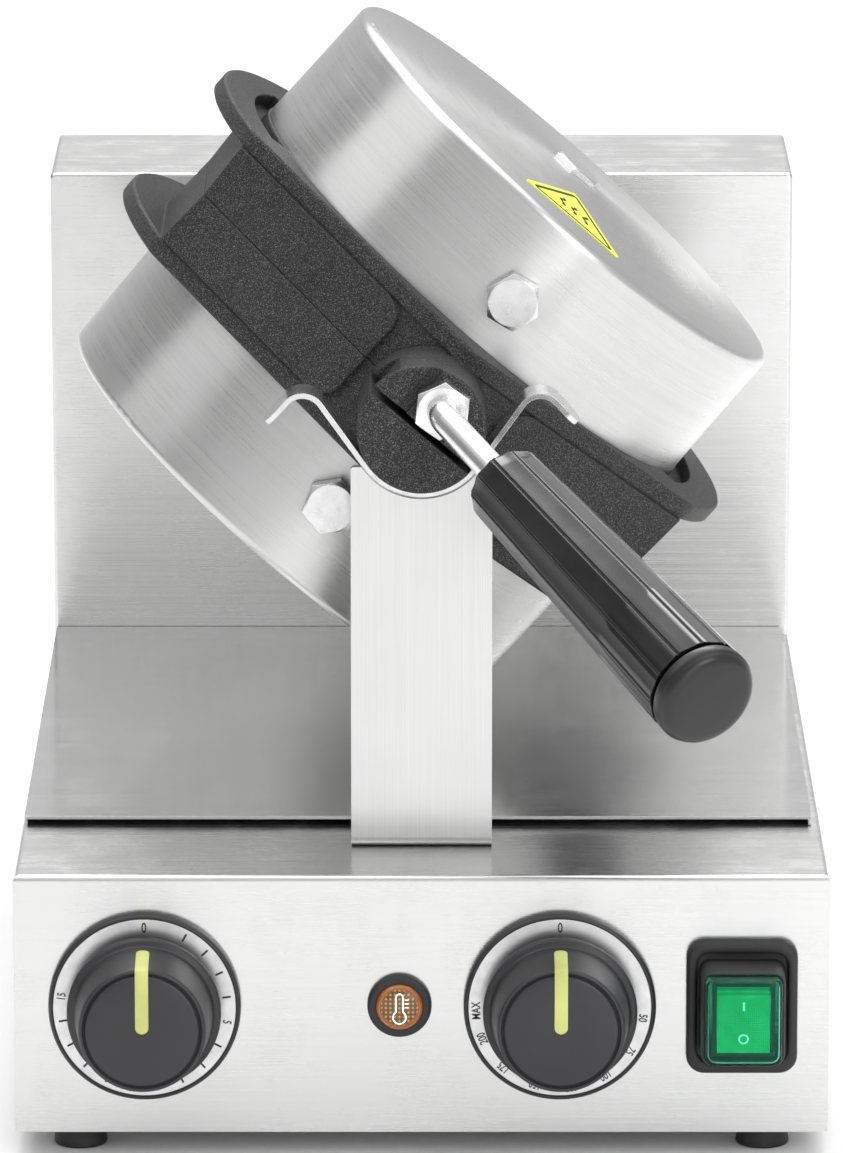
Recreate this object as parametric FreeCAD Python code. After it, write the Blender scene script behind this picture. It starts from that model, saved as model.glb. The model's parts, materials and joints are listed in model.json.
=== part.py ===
import FreeCAD, Part
import math
import os

# Rotary waffle cone maker, millimetres. X runs to the right, Y to the back and Z up.
# The origin is on the counter, under the middle of the overall envelope.
# "depth" is a distance behind the control panel's face. The drum is built upright in its own
# frame (x across, y back, z towards the lid, origin at its centre) and is then tilted into place.

V = FreeCAD.Vector

# Casing
WIDTH = 270.0
BASE_HEIGHT = 88.0
BASE_DEPTH = 421.0
REAR_BOX_DEPTH = 78.0
REAR_BOX_HEIGHT = 172.5
SHEET = 1.5
BEND = 2.0
FOOT_HEIGHT = 9.0
FOOT_INSET_X = 21.0
FOOT_DEPTHS = (19.0, 400.0)
FOOT_R = 9.0
STUD_R = 2.5
BACK_RETURN = 1.5
CORNER_R = 2.5
VENT_R = 2.0
VENT_LENGTH = 34.0
PANEL_SCREW_R = 1.9
M5_HOLE_R = 2.6
TRAY_SHEET = 1.0
TRAY_X = (-134.0, 131.5)
TRAY_DEPTH = (66.0, 342.4)
TRAY_TOP = 3.2
TRAY_UNDER = 0.3

# Drum and its axis
AXIS_ABOVE_BASE = 143.0
DRUM_DEPTH = 173.5
TILT = 41.0
BODY_R = 98.5
PAD_STEP = 2.0
FLARE = 1.1
PARTING = 0.15
FLANGE_R = 113.0
FLANGE_IN = 20.8
FLANGE_OUT = 27.3
FLANGE_REAR = 104.0
POCKET_R = 88.0
POCKET_FLOOR = 12.0
PLATE_R = 86.0
PLATE_RECESS = 1.2
COVER_TOP_R = 92.0
COVER_FOOT_R = 92.9
COVER_TOP = 76.5
COVER_SHEET = 1.2
COVER_EDGE = 3.0
CROWN = 4.5
CROWN_FLAT_R = 14.0
CENTRE_HEAD = 2.4
HEATER_R = 62.0
HEATER_TUBE_R = 4.0
SIDE_BOLT_UP = 46.5
SIDE_BOLT_SEAT = -93.2
SIDE_NUT_FRONT = -90.4
LABEL_SIDE = 43.0
LABEL_FRONT = -73.0

# Hub, cradle and front bracket
HUB_R = 21.5
HUB_FRONT_DEPTH = 35.0
HUB_HALF_GAP = 1.2
HUB_COLLAR = 2.0
HUB_RELIEF = 18.6
CRADLE_FRONT_DEPTH = 38.2
CRADLE_WIDTH = 16.0
CRADLE_STRIP = 1.8
CRADLE_GAP = 0.3
ARM_ANGLE = 54.5
ARM_LENGTH = 25.9
ARM_BEND_R = 7.2
TIP_ANGLE = 48.0
TIP_LENGTH = 10.2
TIP_CORNER = 5.0
BRACKET_WIDTH = 47.0
BRACKET_DEPTH = 37.0
BRACKET_SHEET = 3.0
BRACKET_FOOT = 25.0
HORN_BELOW_AXIS = 12.8
BRACKET_SCREW_X = 14.0
BRACKET_SCREW_BACK = 15.0

# Lid hinge and drum shaft
HINGE_BACK = 112.0
HINGE_UP = 14.0
BARREL_R = 8.0
PIN_R = 4.0
SHAFT_R = 10.0
SHAFT_BORE_R = 7.0
BOSS_R = 17.0
BOSS_FRONT = 99.2
SHAFT_FRONT = 104.0
EAR_OUT = 50.0
EAR_SPLIT = 36.0
EAR_IN = 24.0
RUN = 0.05
FLANGE_SCREW_X = 27.0
FLANGE_SCREW_Z = 19.0
BUSH_R = 14.0
BEARING_FLANGE = 8.0
BEARING_BACK_DEPTH = 382.0
COLLAR_DEPTH = 386.0
COLLAR_LENGTH = 10.0
SHAFT_END_DEPTH = 404.0
CLIP_DEPTH = 399.0
CLIP_THICK = 1.5
STOP_X = 29.0
STOP_PIN_R = 4.0
STOP_ARM_HALF = 5.0
STOP_CLEAR = 0.4

# Handle
HANDLE_SWING = 34.3
HANDLE_LEAN = 5.7
ROD_R = 5.0
ROD_UP = 10.5
ROD_VERTEX_DEPTH = 20.0
ROD_BEND_R = 16.0
GRIP_START = 43.6
GRIP_END = 175.0
CAP_END = 182.6
GRIP_START_R = 13.6
GRIP_END_R = 17.0
CAP_EDGE = 3.0
GRIP_FLATS = 12

# Control panel
PANEL_MID = 44.0
TIMER_X = -91.7
LAMP_X = -7.3
THERMOSTAT_X = 45.8
SWITCH_X = 106.1
DIAL_R = 31.9
DIAL_THICK = 4.3
DIAL_EDGE = 1.3
SCALE_R = 30.3
SCALE_REACH = 3.8
SCALE_THICK = 0.8
SKIRT_R = 25.5
SKIRT_BACK = 8.2
SKIRT_FRONT = 12.0
KNOB_BODY_R = 23.1
KNOB_SHOULDER_R = 20.9
KNOB_SHOULDER = 1.2
KNOB_REACH = 33.0
KNOB_BOSS_R = 9.0
SPINDLE_R = 3.0
SPINDLE_REACH = 24.0
SPINDLE_BACK = 18.0
NOSE_R = 5.4
POINTER_WIDTH = 4.4
LAMP_SEAL_R = 10.65
LAMP_R = 7.75
SWITCH_HALF = (12.6, 14.8)
SWITCH_FRAME_HALF = (18.4, 22.7)
SWITCH_FRAME_REACH = 4.8
SWITCH_COLLAR_REACH = 18.0
SWITCH_COVER_REACH = 24.5
SWITCH_WALL = 1.1
ROCKER_REACH = 11.0
ROCKER_HALF = (8.7, 9.95)
ROCKER_TILT = 8.0

# Cord entry at the back
GLAND_X = 95.0
GLAND_UP = 30.0
GLAND_R = 9.0
GLAND_REACH = 14.0
CORD_R = 4.0

HEX = 6
M10_FLATS = 17.0
M10_HEAD = 6.4
M10_NUT = 8.0
M10_R = 5.0

BASE_TOP = FOOT_HEIGHT + BASE_HEIGHT
AXIS_Z = BASE_TOP + AXIS_ABOVE_BASE
REAR_FRONT_DEPTH = BASE_DEPTH - REAR_BOX_DEPTH
REAR_TOP = BASE_TOP + REAR_BOX_HEIGHT
HALF = WIDTH / 2
PANEL_Z = FOOT_HEIGHT + BASE_HEIGHT - PANEL_MID

_swing = math.radians(HANDLE_SWING)
_cap_reach = (CAP_END - CAP_EDGE) * math.cos(_swing)
_rim_reach = (GRIP_END_R - CAP_EDGE) * math.sin(_swing)
FRONT_REACH = _cap_reach + _rim_reach + CAP_EDGE - ROD_VERTEX_DEPTH
FRONT_Y = (FRONT_REACH - BASE_DEPTH - GLAND_REACH) / 2


def y_at(depth):
    """Y of a plane at this depth behind the control panel's face."""
    return FRONT_Y + depth


def box(x, y, z):
    """A block between the two limits given for each axis."""
    size = (x[1] - x[0], y[1] - y[0], z[1] - z[0])
    return Part.makeBox(*size, V(x[0], y[0], z[0]))


def depth_box(x, depth, z):
    """A block whose middle limits are depths behind the panel."""
    return box(x, (y_at(depth[0]), y_at(depth[1])), z)


def rod(radius, start, direction, length):
    """A round bar from a start point."""
    return Part.makeCylinder(radius, length, start, direction)


def tube(outer, inner, start, direction, length):
    """A round bar with a coaxial hole."""
    return rod(outer, start, direction, length).cut(rod(inner, start, direction, length))


def hexagon(flats, start, direction, length, turn=0.0):
    """A hexagonal prism from a start point along a direction, with its far corners chamfered."""
    radius = flats / math.sqrt(3)
    angles = [math.radians(turn + 60 * i) for i in range(HEX + 1)]
    points = [V(radius * math.cos(a), radius * math.sin(a), 0) for a in angles]
    prism = Part.Face(Part.makePolygon(points)).extrude(V(0, 0, length))
    top_r = flats / 2 * 0.95
    chamfer = (radius - top_r) / math.sqrt(3)
    round_bar = rod(radius, V(0, 0, 0), V(0, 0, 1), length - chamfer)
    prism = prism.common(round_bar.fuse(Part.makeCone(radius, top_r, chamfer, V(0, 0, length - chamfer))))
    prism.Placement = FreeCAD.Placement(start, FreeCAD.Rotation(V(0, 0, 1), direction))
    return prism


def revolve(points, axis_point, axis):
    """A turned solid from a closed profile."""
    face = Part.Face(Part.makePolygon(points + points[:1]))
    return face.revolve(axis_point, axis, 360)


def fuse(shapes):
    """Joins solids into one and merges the split faces."""
    joined = shapes[0]
    for shape in shapes[1:]:
        joined = joined.fuse(shape)
    return joined.removeSplitter()


def group(shapes):
    """Several separate solids in one node."""
    return Part.makeCompound(shapes)


def edges_where(shape, test):
    """The edges whose middle point and direction satisfy a test."""
    chosen = []
    for edge in shape.Edges:
        middle = edge.valueAt((edge.FirstParameter + edge.LastParameter) / 2)
        if test(edge, middle):
            chosen.append(edge)
    return chosen


def is_along(edge, axis):
    """True for a straight edge parallel to an axis."""
    if not isinstance(edge.Curve, Part.Line):
        return False
    return abs(edge.Curve.Direction.dot(axis)) > 0.999


def place_drum(shape):
    """Moves a shape from the drum's upright frame to its tilted place in the machine."""
    placed = shape.copy()
    tilt = FreeCAD.Rotation(V(0, 1, 0), TILT)
    move = FreeCAD.Placement(V(0, y_at(DRUM_DEPTH), AXIS_Z), tilt)
    placed.Placement = move.multiply(shape.Placement)
    return placed


def to_lower(shape):
    """Mirrors an upper-half shape to the lower half of the drum."""
    return shape.mirror(V(0, 0, 0), V(0, 0, 1))


# ---------------------------------------------------------------- casing

def base_shell():
    """Folded base box: control panel, top and sides, open below and behind."""
    outer = depth_box((-HALF, HALF), (0, BASE_DEPTH), (FOOT_HEIGHT, BASE_TOP))
    front_top = edges_where(outer, lambda e, m: is_along(e, V(1, 0, 0)) and m.z > BASE_TOP - 1)
    front_top = [e for e in front_top if e.BoundBox.YMin < y_at(1)]
    side_tops = edges_where(outer, lambda e, m: is_along(e, V(0, 1, 0)) and m.z > BASE_TOP - 1)
    outer = outer.makeFillet(BEND, front_top + side_tops)
    inside = depth_box((-HALF + SHEET, HALF - SHEET), (SHEET, BASE_DEPTH + 1),
                       (FOOT_HEIGHT - 1, BASE_TOP - SHEET))
    shell = outer.cut(inside)
    window = depth_box((-HALF + 14, HALF - 14), (REAR_FRONT_DEPTH + 10, BASE_DEPTH - 8),
                       (BASE_TOP - 5, BASE_TOP + 1))
    rebate = depth_box((-HALF + SHEET, HALF - SHEET), (BASE_DEPTH - BACK_RETURN, BASE_DEPTH + 1),
                       (BASE_TOP - 5, BASE_TOP + 1))
    shell = shell.cut(window).cut(rebate).cut(group(panel_corners()))
    for x in (TIMER_X, THERMOSTAT_X):
        shell = shell.cut(rod(NOSE_R + 0.1, V(x, y_at(-1), PANEL_Z), V(0, 1, 0), 5))
    shell = shell.cut(rod(LAMP_R - 0.15, V(LAMP_X, y_at(-1), PANEL_Z), V(0, 1, 0), 5))
    shell = shell.cut(switch_opening())
    for x, y in bracket_screw_places():
        shell = shell.cut(rod(M5_HOLE_R, V(x, y, BASE_TOP - 5), V(0, 0, 1), 9))
    return shell


def panel_corners():
    """The material outside the panel's two rounded lower corners."""
    corners = []
    for side in (-1, 1):
        centre = V(side * (HALF - CORNER_R), y_at(-1), FOOT_HEIGHT + CORNER_R)
        block = depth_box(sorted((centre.x, side * (HALF + 1))), (-1, SHEET), (FOOT_HEIGHT - 1, centre.z))
        corners.append(block.cut(rod(CORNER_R, centre, V(0, 1, 0), SHEET + 2)))
    return corners


def bracket_screw_places():
    """Centres of the front bracket's two screws."""
    return [(x, y_at(BRACKET_DEPTH + BRACKET_SCREW_BACK)) for x in (-BRACKET_SCREW_X, BRACKET_SCREW_X)]


def switch_opening():
    """The rectangular hole in the panel for the rocker switch."""
    return switch_block((11, 15), (-1, 4))


def rear_box():
    """Tall rear housing that holds the drum bearing, open below and behind."""
    outer = depth_box((-HALF, HALF), (REAR_FRONT_DEPTH, BASE_DEPTH), (BASE_TOP, REAR_TOP))
    tops = edges_where(outer, lambda e, m: is_along(e, V(0, 1, 0)) and m.z > REAR_TOP - 1)
    outer = outer.makeFillet(BEND, tops)
    inside = depth_box((-HALF + SHEET, HALF - SHEET), (REAR_FRONT_DEPTH + SHEET, BASE_DEPTH + 1),
                       (BASE_TOP - 1, REAR_TOP - SHEET))
    shell = outer.cut(inside)
    front_top = edges_where(shell, lambda e, m: is_along(e, V(1, 0, 0)) and m.z > REAR_TOP - 0.1)
    front_top = [e for e in front_top if e.BoundBox.YMin < y_at(REAR_FRONT_DEPTH + 1)]
    shell = shell.makeFillet(SHEET * 0.9, front_top)
    axis_start = V(0, y_at(REAR_FRONT_DEPTH - 1), AXIS_Z)
    shell = shell.cut(rod(SHAFT_R + 2, axis_start, V(0, 1, 0), 5))
    for x, z in flange_corners():
        shell = shell.cut(rod(M5_HOLE_R, V(x, y_at(REAR_FRONT_DEPTH - 1), z), V(0, 1, 0), 5))
    return shell


def flange_corners():
    """Centres of the four bearing screws."""
    return [(side * FLANGE_SCREW_X, AXIS_Z + up * FLANGE_SCREW_Z) for side in (-1, 1) for up in (-1, 1)]


def back_panel():
    """Flat rear panel with two rows of vents, set in flush with the casing."""
    edge = HALF - SHEET
    panel = depth_box((-edge, edge), (BASE_DEPTH - BACK_RETURN, BASE_DEPTH),
                      (FOOT_HEIGHT + 3, REAR_TOP - SHEET))
    slots = [vent(x, z) for z in (BASE_TOP + 20, REAR_TOP - 60) for x in range(-70, 71, 14)]
    panel = panel.cut(group(slots))
    panel = panel.cut(rod(GLAND_R - 2, V(GLAND_X, y_at(BASE_DEPTH - 4), gland_z()), V(0, 1, 0), 8))
    for x, z in panel_screw_places():
        panel = panel.cut(rod(PANEL_SCREW_R, V(x, y_at(BASE_DEPTH - 4), z), V(0, 1, 0), 8))
    return panel


def vent(x, z):
    """One upright round-ended slot through the rear panel."""
    low = V(x, y_at(BASE_DEPTH - 4), z)
    high = V(x, y_at(BASE_DEPTH - 4), z + VENT_LENGTH)
    middle = depth_box((x - VENT_R, x + VENT_R), (BASE_DEPTH - 4, BASE_DEPTH + 4), (z, z + VENT_LENGTH))
    return fuse([rod(VENT_R, low, V(0, 1, 0), 8), middle, rod(VENT_R, high, V(0, 1, 0), 8)])


def panel_screw_places():
    """Centres of the rear panel's screws."""
    return [(x, z) for x in (-HALF + 8, HALF - 8) for z in (24.0, BASE_TOP + 40, REAR_TOP - 14)]


def panel_screws():
    """Pan-head screws that hold the rear panel."""
    screws = []
    for x, z in panel_screw_places():
        head = rod(3.5, V(x, y_at(BASE_DEPTH), z), V(0, 1, 0), 2.2)
        head = head.makeFillet(1.2, [e for e in head.Edges if e.BoundBox.YMin > y_at(BASE_DEPTH) + 2])
        shank = rod(PANEL_SCREW_R, V(x, y_at(BASE_DEPTH - 7), z), V(0, 1, 0), 7)
        slot = depth_box((x - 0.4, x + 0.4), (BASE_DEPTH + 1.2, BASE_DEPTH + 3), (z - 2.4, z + 2.4))
        cross = depth_box((x - 2.4, x + 2.4), (BASE_DEPTH + 1.2, BASE_DEPTH + 3), (z - 0.4, z + 0.4))
        screws.append(fuse([head, shank]).cut(slot).cut(cross))
    return group(screws)


def screw_tabs():
    """Corner tabs inside the casing that the rear panel's screws bite into."""
    tabs = []
    for x, z in panel_screw_places():
        side = math.copysign(1, x)
        near = x - side * 6
        far = side * (HALF - SHEET)
        plate = depth_box(sorted((near, far)), (BASE_DEPTH - 4, BASE_DEPTH - BACK_RETURN), (z - 7, z + 7))
        tabs.append(plate.cut(rod(PANEL_SCREW_R, V(x, y_at(BASE_DEPTH - 5), z), V(0, 1, 0), 8)))
    return group(tabs)


def bottom_plate():
    """Closing plate under the base, with cooling slots and the four foot holes."""
    edge = HALF - SHEET
    low = FOOT_HEIGHT
    plate = depth_box((-edge, edge), (SHEET, BASE_DEPTH - BACK_RETURN), (low, low + SHEET))
    for x, y in foot_places():
        plate = plate.cut(rod(STUD_R, V(x, y, low - 1), V(0, 0, 1), 4))
    slots = []
    for x in range(-60, 61, 20):
        slots.append(depth_box((x - 2.5, x + 2.5), (180, 260), (low - 1, low + 4)))
    return plate.cut(group(slots))


def foot_places():
    """Centres of the four feet."""
    x = HALF - FOOT_INSET_X
    return [(side * x, y_at(depth)) for side in (-1, 1) for depth in FOOT_DEPTHS]


def feet():
    """Rubber feet, wider at the counter."""
    shapes = []
    for x, y in foot_places():
        pad = Part.makeCone(FOOT_R, FOOT_R - 1, FOOT_HEIGHT, V(x, y, 0), V(0, 0, 1))
        pad = pad.makeFillet(1.0, [e for e in pad.Edges if e.BoundBox.ZMax < 0.1])
        shapes.append(pad.cut(foot_stud(x, y)))
    return group(shapes)


def foot_stud(x, y):
    """A threaded stud with a flat head moulded into one foot."""
    head = rod(STUD_R * 2, V(x, y, 4.0), V(0, 0, 1), 2.0)
    return fuse([head, rod(STUD_R, V(x, y, 6.0), V(0, 0, 1), 12.0)])


def foot_studs():
    """The four moulded-in studs."""
    return group([foot_stud(x, y) for x, y in foot_places()])


def foot_nuts():
    """Nuts that clamp the feet to the bottom plate."""
    nuts = []
    for x, y in foot_places():
        nut = hexagon(8.0, V(x, y, FOOT_HEIGHT + SHEET), V(0, 0, 1), 4.0)
        nuts.append(nut.cut(rod(STUD_R, V(x, y, FOOT_HEIGHT), V(0, 0, 1), 8)))
    return group(nuts)


def drip_tray():
    """Loose sheet on the base top, with turned-down sides, that draws out sideways."""
    left, right = TRAY_X
    low = BASE_TOP + TRAY_UNDER
    high = BASE_TOP + TRAY_TOP
    top = depth_box(TRAY_X, TRAY_DEPTH, (high - TRAY_SHEET, high))
    left_edge = depth_box((left, left + TRAY_SHEET), TRAY_DEPTH, (low, high))
    right_edge = depth_box((right - TRAY_SHEET, right), TRAY_DEPTH, (low, high))
    rear_edge = depth_box(TRAY_X, (TRAY_DEPTH[1] - TRAY_SHEET, TRAY_DEPTH[1]), (low, high))
    return fuse([top, left_edge, right_edge, rear_edge])


# ---------------------------------------------------------------- bracket and cradle

def front_bracket():
    """Upright flat bar with a foot folded back and a round notch that seats the cradle."""
    half = BRACKET_WIDTH / 2
    top = AXIS_Z - HORN_BELOW_AXIS
    back = BRACKET_DEPTH + BRACKET_SHEET
    upright = depth_box((-half, half), (BRACKET_DEPTH, back), (BASE_TOP, top))
    foot = depth_box((-half, half), (BRACKET_DEPTH, BRACKET_DEPTH + BRACKET_FOOT),
                     (BASE_TOP, BASE_TOP + BRACKET_SHEET))
    bar = fuse([upright, foot])
    fold = edges_where(bar, lambda e, m: is_along(e, V(1, 0, 0)) and m.z < BASE_TOP + 0.1)
    fold = [e for e in fold if e.BoundBox.YMin < y_at(BRACKET_DEPTH + 1)]
    bar = bar.makeFillet(BRACKET_SHEET * 1.2, fold)
    notch_r = HUB_R + CRADLE_GAP + CRADLE_STRIP
    bar = bar.cut(rod(notch_r, V(0, y_at(BRACKET_DEPTH - 1), AXIS_Z), V(0, 1, 0), 6))
    horns = edges_where(bar, lambda e, m: is_along(e, V(0, 1, 0)) and m.z > top - 0.1)
    bar = bar.makeFillet(1.1, horns)
    for x, y in bracket_screw_places():
        bar = bar.cut(rod(M5_HOLE_R, V(x, y, BASE_TOP - 1), V(0, 0, 1), 6))
    return bar


def bracket_screws():
    """Cap screws through the bracket's foot."""
    screws = []
    for x, y in bracket_screw_places():
        seat = BASE_TOP + BRACKET_SHEET
        head = rod(4.5, V(x, y, seat), V(0, 0, 1), 3.5)
        socket = hexagon(4.0, V(x, y, seat + 1.5), V(0, 0, 1), 3)
        shank = rod(M5_HOLE_R, V(x, y, BASE_TOP - 8), V(0, 0, 1), 8 + BRACKET_SHEET)
        screws.append(fuse([head, shank]).cut(socket))
    return group(screws)


def strip_sector(centre, radius, start, end):
    """A curved stretch of the cradle strip. Angles are degrees from +X towards +Z."""
    wide = radius + CRADLE_STRIP / 2
    thin = radius - CRADLE_STRIP / 2
    ring = tube(wide, thin, V(0, 0, 0), V(0, 0, 1), CRADLE_WIDTH)
    wedge = Part.makeCylinder(wide + 1, CRADLE_WIDTH, V(0, 0, 0), V(0, 0, 1), end - start)
    wedge.rotate(V(0, 0, 0), V(0, 0, 1), start)
    sector = ring.common(wedge)
    sector.rotate(V(0, 0, 0), V(1, 0, 0), 90)
    back = y_at(CRADLE_FRONT_DEPTH + CRADLE_WIDTH)
    sector.translate(V(centre[0], back, centre[1]))
    return sector


def strip_bar(start, angle, length, corner=0.0):
    """A straight stretch of the cradle strip, with its end corners rounded if asked."""
    bar = box((0, length), (0, CRADLE_WIDTH), (-CRADLE_STRIP / 2, CRADLE_STRIP / 2))
    if corner:
        far = edges_where(bar, lambda e, m: is_along(e, V(0, 0, 1)) and m.x > length / 2)
        bar = bar.makeFillet(corner, far)
    bar.rotate(V(0, 0, 0), V(0, 1, 0), -angle)
    bar.translate(V(start[0], y_at(CRADLE_FRONT_DEPTH), start[1]))
    return bar


def along(start, angle, length):
    """The point reached from a start along an angle in the XZ plane."""
    a = math.radians(angle)
    return (start[0] + length * math.cos(a), start[1] + length * math.sin(a))


def cradle_arm():
    """The right arm: straight up, over a round bend and down to a free tip."""
    middle_r = HUB_R + CRADLE_GAP + CRADLE_STRIP / 2
    foot = along((0, AXIS_Z), ARM_ANGLE - 90, middle_r)
    bend_start = along(foot, ARM_ANGLE, ARM_LENGTH)
    bend_centre = along(bend_start, ARM_ANGLE - 90, ARM_BEND_R)
    bend_end = along(bend_centre, 90 - TIP_ANGLE, ARM_BEND_R)
    return [
        strip_bar(foot, ARM_ANGLE, ARM_LENGTH),
        strip_sector(bend_centre, ARM_BEND_R, 90 - TIP_ANGLE, ARM_ANGLE + 90),
        strip_bar(bend_end, -TIP_ANGLE, TIP_LENGTH, TIP_CORNER),
    ]


def hub_cradle():
    """Spring strip bent to a U under the hub, with an arm curling out on each side."""
    middle_r = HUB_R + CRADLE_GAP + CRADLE_STRIP / 2
    seat = strip_sector((0, AXIS_Z), middle_r, -90 - ARM_ANGLE, ARM_ANGLE - 90)
    right = cradle_arm()
    left = [piece.mirror(V(0, 0, 0), V(1, 0, 0)) for piece in right]
    return fuse([seat] + right + left)


# ---------------------------------------------------------------- drum

def plan_wire(side, facet, height):
    """Casting outline: a half circle behind, flat sides, and two facets meeting in front."""
    corner = -(facet - side / 2) / math.cos(math.radians(30))
    tip = -facet / math.cos(math.radians(30))
    points = [V(-side, 0, height), V(-side, corner, height), V(0, tip, height),
              V(side, corner, height), V(side, 0, height)]
    lines = [Part.makeLine(a, b) for a, b in zip(points, points[1:])]
    arc = Part.Arc(V(side, 0, height), V(0, side, height), V(-side, 0, height)).toShape()
    return Part.Wire(lines + [arc])


def flared_block(facet):
    """The casting's body from the parting face to the flange, wider at the flange."""
    low = plan_wire(BODY_R - FLARE, facet - FLARE, PARTING)
    high = plan_wire(BODY_R, facet, FLANGE_IN)
    return Part.makeLoft([low, high], True, True)


def pad_limits():
    """The two round-cornered zones where the front facets stand proud."""
    zones = []
    for side in (-1, 1):
        zone = box(sorted((side * 25.0, side * 120.0)), (-135, -45), (PARTING, FLANGE_IN))
        corner = edges_where(zone, lambda e, m: is_along(e, V(0, 1, 0)) and m.z > FLANGE_IN - 1)
        corner = [e for e in corner if abs(e.BoundBox.XMin) < 30 and abs(e.BoundBox.XMax) < 30]
        zones.append(zone.makeFillet(8.0, corner))
    return zones


def flange_ring():
    """Round flange, cut flush with the front facets and trimmed behind."""
    facet = BODY_R - 1.0
    reach = 200.0
    corner = -(facet - reach / 2) / math.cos(math.radians(30))
    tip = -facet / math.cos(math.radians(30))
    points = [V(-reach, FLANGE_REAR, 0), V(-reach, corner, 0), V(0, tip, 0),
              V(reach, corner, 0), V(reach, FLANGE_REAR, 0)]
    area = Part.Face(Part.makePolygon(points + points[:1])).extrude(V(0, 0, 40))
    disc = rod(FLANGE_R, V(0, 0, FLANGE_IN), V(0, 0, 1), FLANGE_OUT - FLANGE_IN).common(area)
    ears = edges_where(disc, lambda e, m: is_along(e, V(0, 0, 1)) and abs(m.x) > 60)
    disc = disc.makeFillet(12.0, ears)
    rims = edges_where(disc, lambda e, m: abs(m.z - FLANGE_OUT) < 0.01 or abs(m.z - FLANGE_IN) < 0.01)
    return disc.makeChamfer(0.7, rims)


def kidney_slots():
    """Curved pockets beside the cover at the flange's left and right ends."""
    pockets = []
    for start in (-24, 156):
        ring = tube(99.6, COVER_FOOT_R + 0.4, V(0, 0, FLANGE_OUT - 5), V(0, 0, 1), 8)
        wedge = Part.makeCylinder(120, 8, V(0, 0, FLANGE_OUT - 5), V(0, 0, 1), 48)
        wedge.rotate(V(0, 0, 0), V(0, 0, 1), start)
        pockets.append(ring.common(wedge))
    return pockets


def hub_half():
    """Half of the split front hub, above its gap."""
    front = HUB_FRONT_DEPTH - DRUM_DEPTH
    hub = rod(HUB_R, V(0, front, 0), V(0, 1, 0), 34)
    hub = hub.makeChamfer(0.6, [e for e in hub.Edges if e.BoundBox.YMax < front + 0.1])
    return hub.common(box((-30, 30), (front - 1, front + 40), (HUB_HALF_GAP, 30)))


def half_casting():
    """What the two castings share, built for the upper half."""
    body = flared_block(BODY_R - PAD_STEP)
    proud = flared_block(BODY_R)
    pads = [proud.common(zone) for zone in pad_limits()]
    casting = fuse([body] + pads + [flange_ring(), hub_half()])
    casting = casting.cut(rod(POCKET_R, V(0, 0, POCKET_FLOOR), V(0, 0, 1), 30))
    casting = casting.cut(rod(PLATE_R, V(0, 0, 0), V(0, 0, 1), PARTING + PLATE_RECESS))
    for pocket in kidney_slots():
        casting = casting.cut(pocket)
    return casting.cut(rod(M10_R, V(0, 0, 6), V(0, 0, 1), 10))


def hinge_plate(x, back, z, bore):
    """One hinge ear: a block running back to a round barrel with the pin's hole."""
    plate = box(x, (back[0], back[1]), z)
    barrel = rod(BARREL_R, V(x[0], HINGE_BACK, HINGE_UP), V(1, 0, 0), x[1] - x[0])
    hole = rod(bore, V(x[0] - 1, HINGE_BACK, HINGE_UP), V(1, 0, 0), x[1] - x[0] + 2)
    return fuse([plate, barrel]).cut(hole)


def upper_casting():
    """Lid casting with the hub half that takes the handle and two hinge ears."""
    casting = half_casting()
    front = HUB_FRONT_DEPTH - DRUM_DEPTH
    for side in (-1, 1):
        x = sorted((side * HUB_RELIEF, side * 30))
        casting = casting.cut(box(x, (front + HUB_COLLAR, front + 21), (0, 30)))
        x = sorted((side * (EAR_SPLIT + 0.4), side * EAR_OUT))
        ear = hinge_plate(x, (80, HINGE_BACK), (6, 20), PIN_R + RUN)
        casting = casting.fuse(ear.cut(rod(POCKET_R + 2, V(0, 0, 0), V(0, 0, 1), 40)))
    groove = box((-11.6, -7.6), (front - 1, front + 1.2), (0, 30))
    casting = casting.cut(groove)
    thread = rod(ROD_R, V(0, front - 1, ROD_UP), V(0, 1, 0), 15)
    return place_drum(casting.cut(thread).removeSplitter())


def lower_casting():
    """Base casting with its hub half, the hinge neck, two ears and the shaft boss."""
    casting = to_lower(half_casting())
    neck = box((-EAR_SPLIT, EAR_SPLIT), (89, 118), (-FLANGE_IN, -PARTING)).cut(
        rod(POCKET_R + 1, V(0, 0, -40), V(0, 0, 1), 60))
    casting = casting.fuse(neck)
    for side in (-1, 1):
        x = sorted((side * EAR_IN, side * EAR_SPLIT))
        casting = casting.fuse(hinge_plate(x, (99.5, 118), (-10, HINGE_UP), PIN_R))
    boss = rod(BOSS_R, V(0, BOSS_FRONT, 0), V(0, 1, 0), 26)
    casting = casting.fuse(boss)
    casting = casting.cut(rod(SHAFT_R, V(0, SHAFT_FRONT, 0), V(0, 1, 0), 30))
    return place_drum(casting.removeSplitter())


def cover():
    """Drawn sheet cup over one half, slightly narrower at its outer face."""
    height = COVER_TOP - FLANGE_OUT
    outer = Part.makeCone(COVER_FOOT_R, COVER_TOP_R, height, V(0, 0, FLANGE_OUT), V(0, 0, 1))
    outer = outer.makeFillet(COVER_EDGE, [e for e in outer.Edges if e.BoundBox.ZMin > COVER_TOP - 0.1])
    inner = Part.makeCone(COVER_FOOT_R - COVER_SHEET, COVER_TOP_R - COVER_SHEET, height - COVER_SHEET,
                          V(0, 0, FLANGE_OUT), V(0, 0, 1))
    rim = [e for e in inner.Edges if e.BoundBox.ZMin > COVER_TOP - COVER_SHEET - 0.1]
    cup = outer.cut(inner.makeFillet(COVER_EDGE - COVER_SHEET, rim))
    cup = cup.cut(crown(-COVER_SHEET)).fuse(crown(0).cut(crown(-COVER_SHEET))).removeSplitter()
    cup = cup.cut(rod(M10_R, V(0, 0, COVER_TOP - 5), V(0, 0, 1), 20))
    return cup.cut(rod(M10_R, V(0, -100, SIDE_BOLT_UP), V(0, 1, 0), 20))


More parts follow.
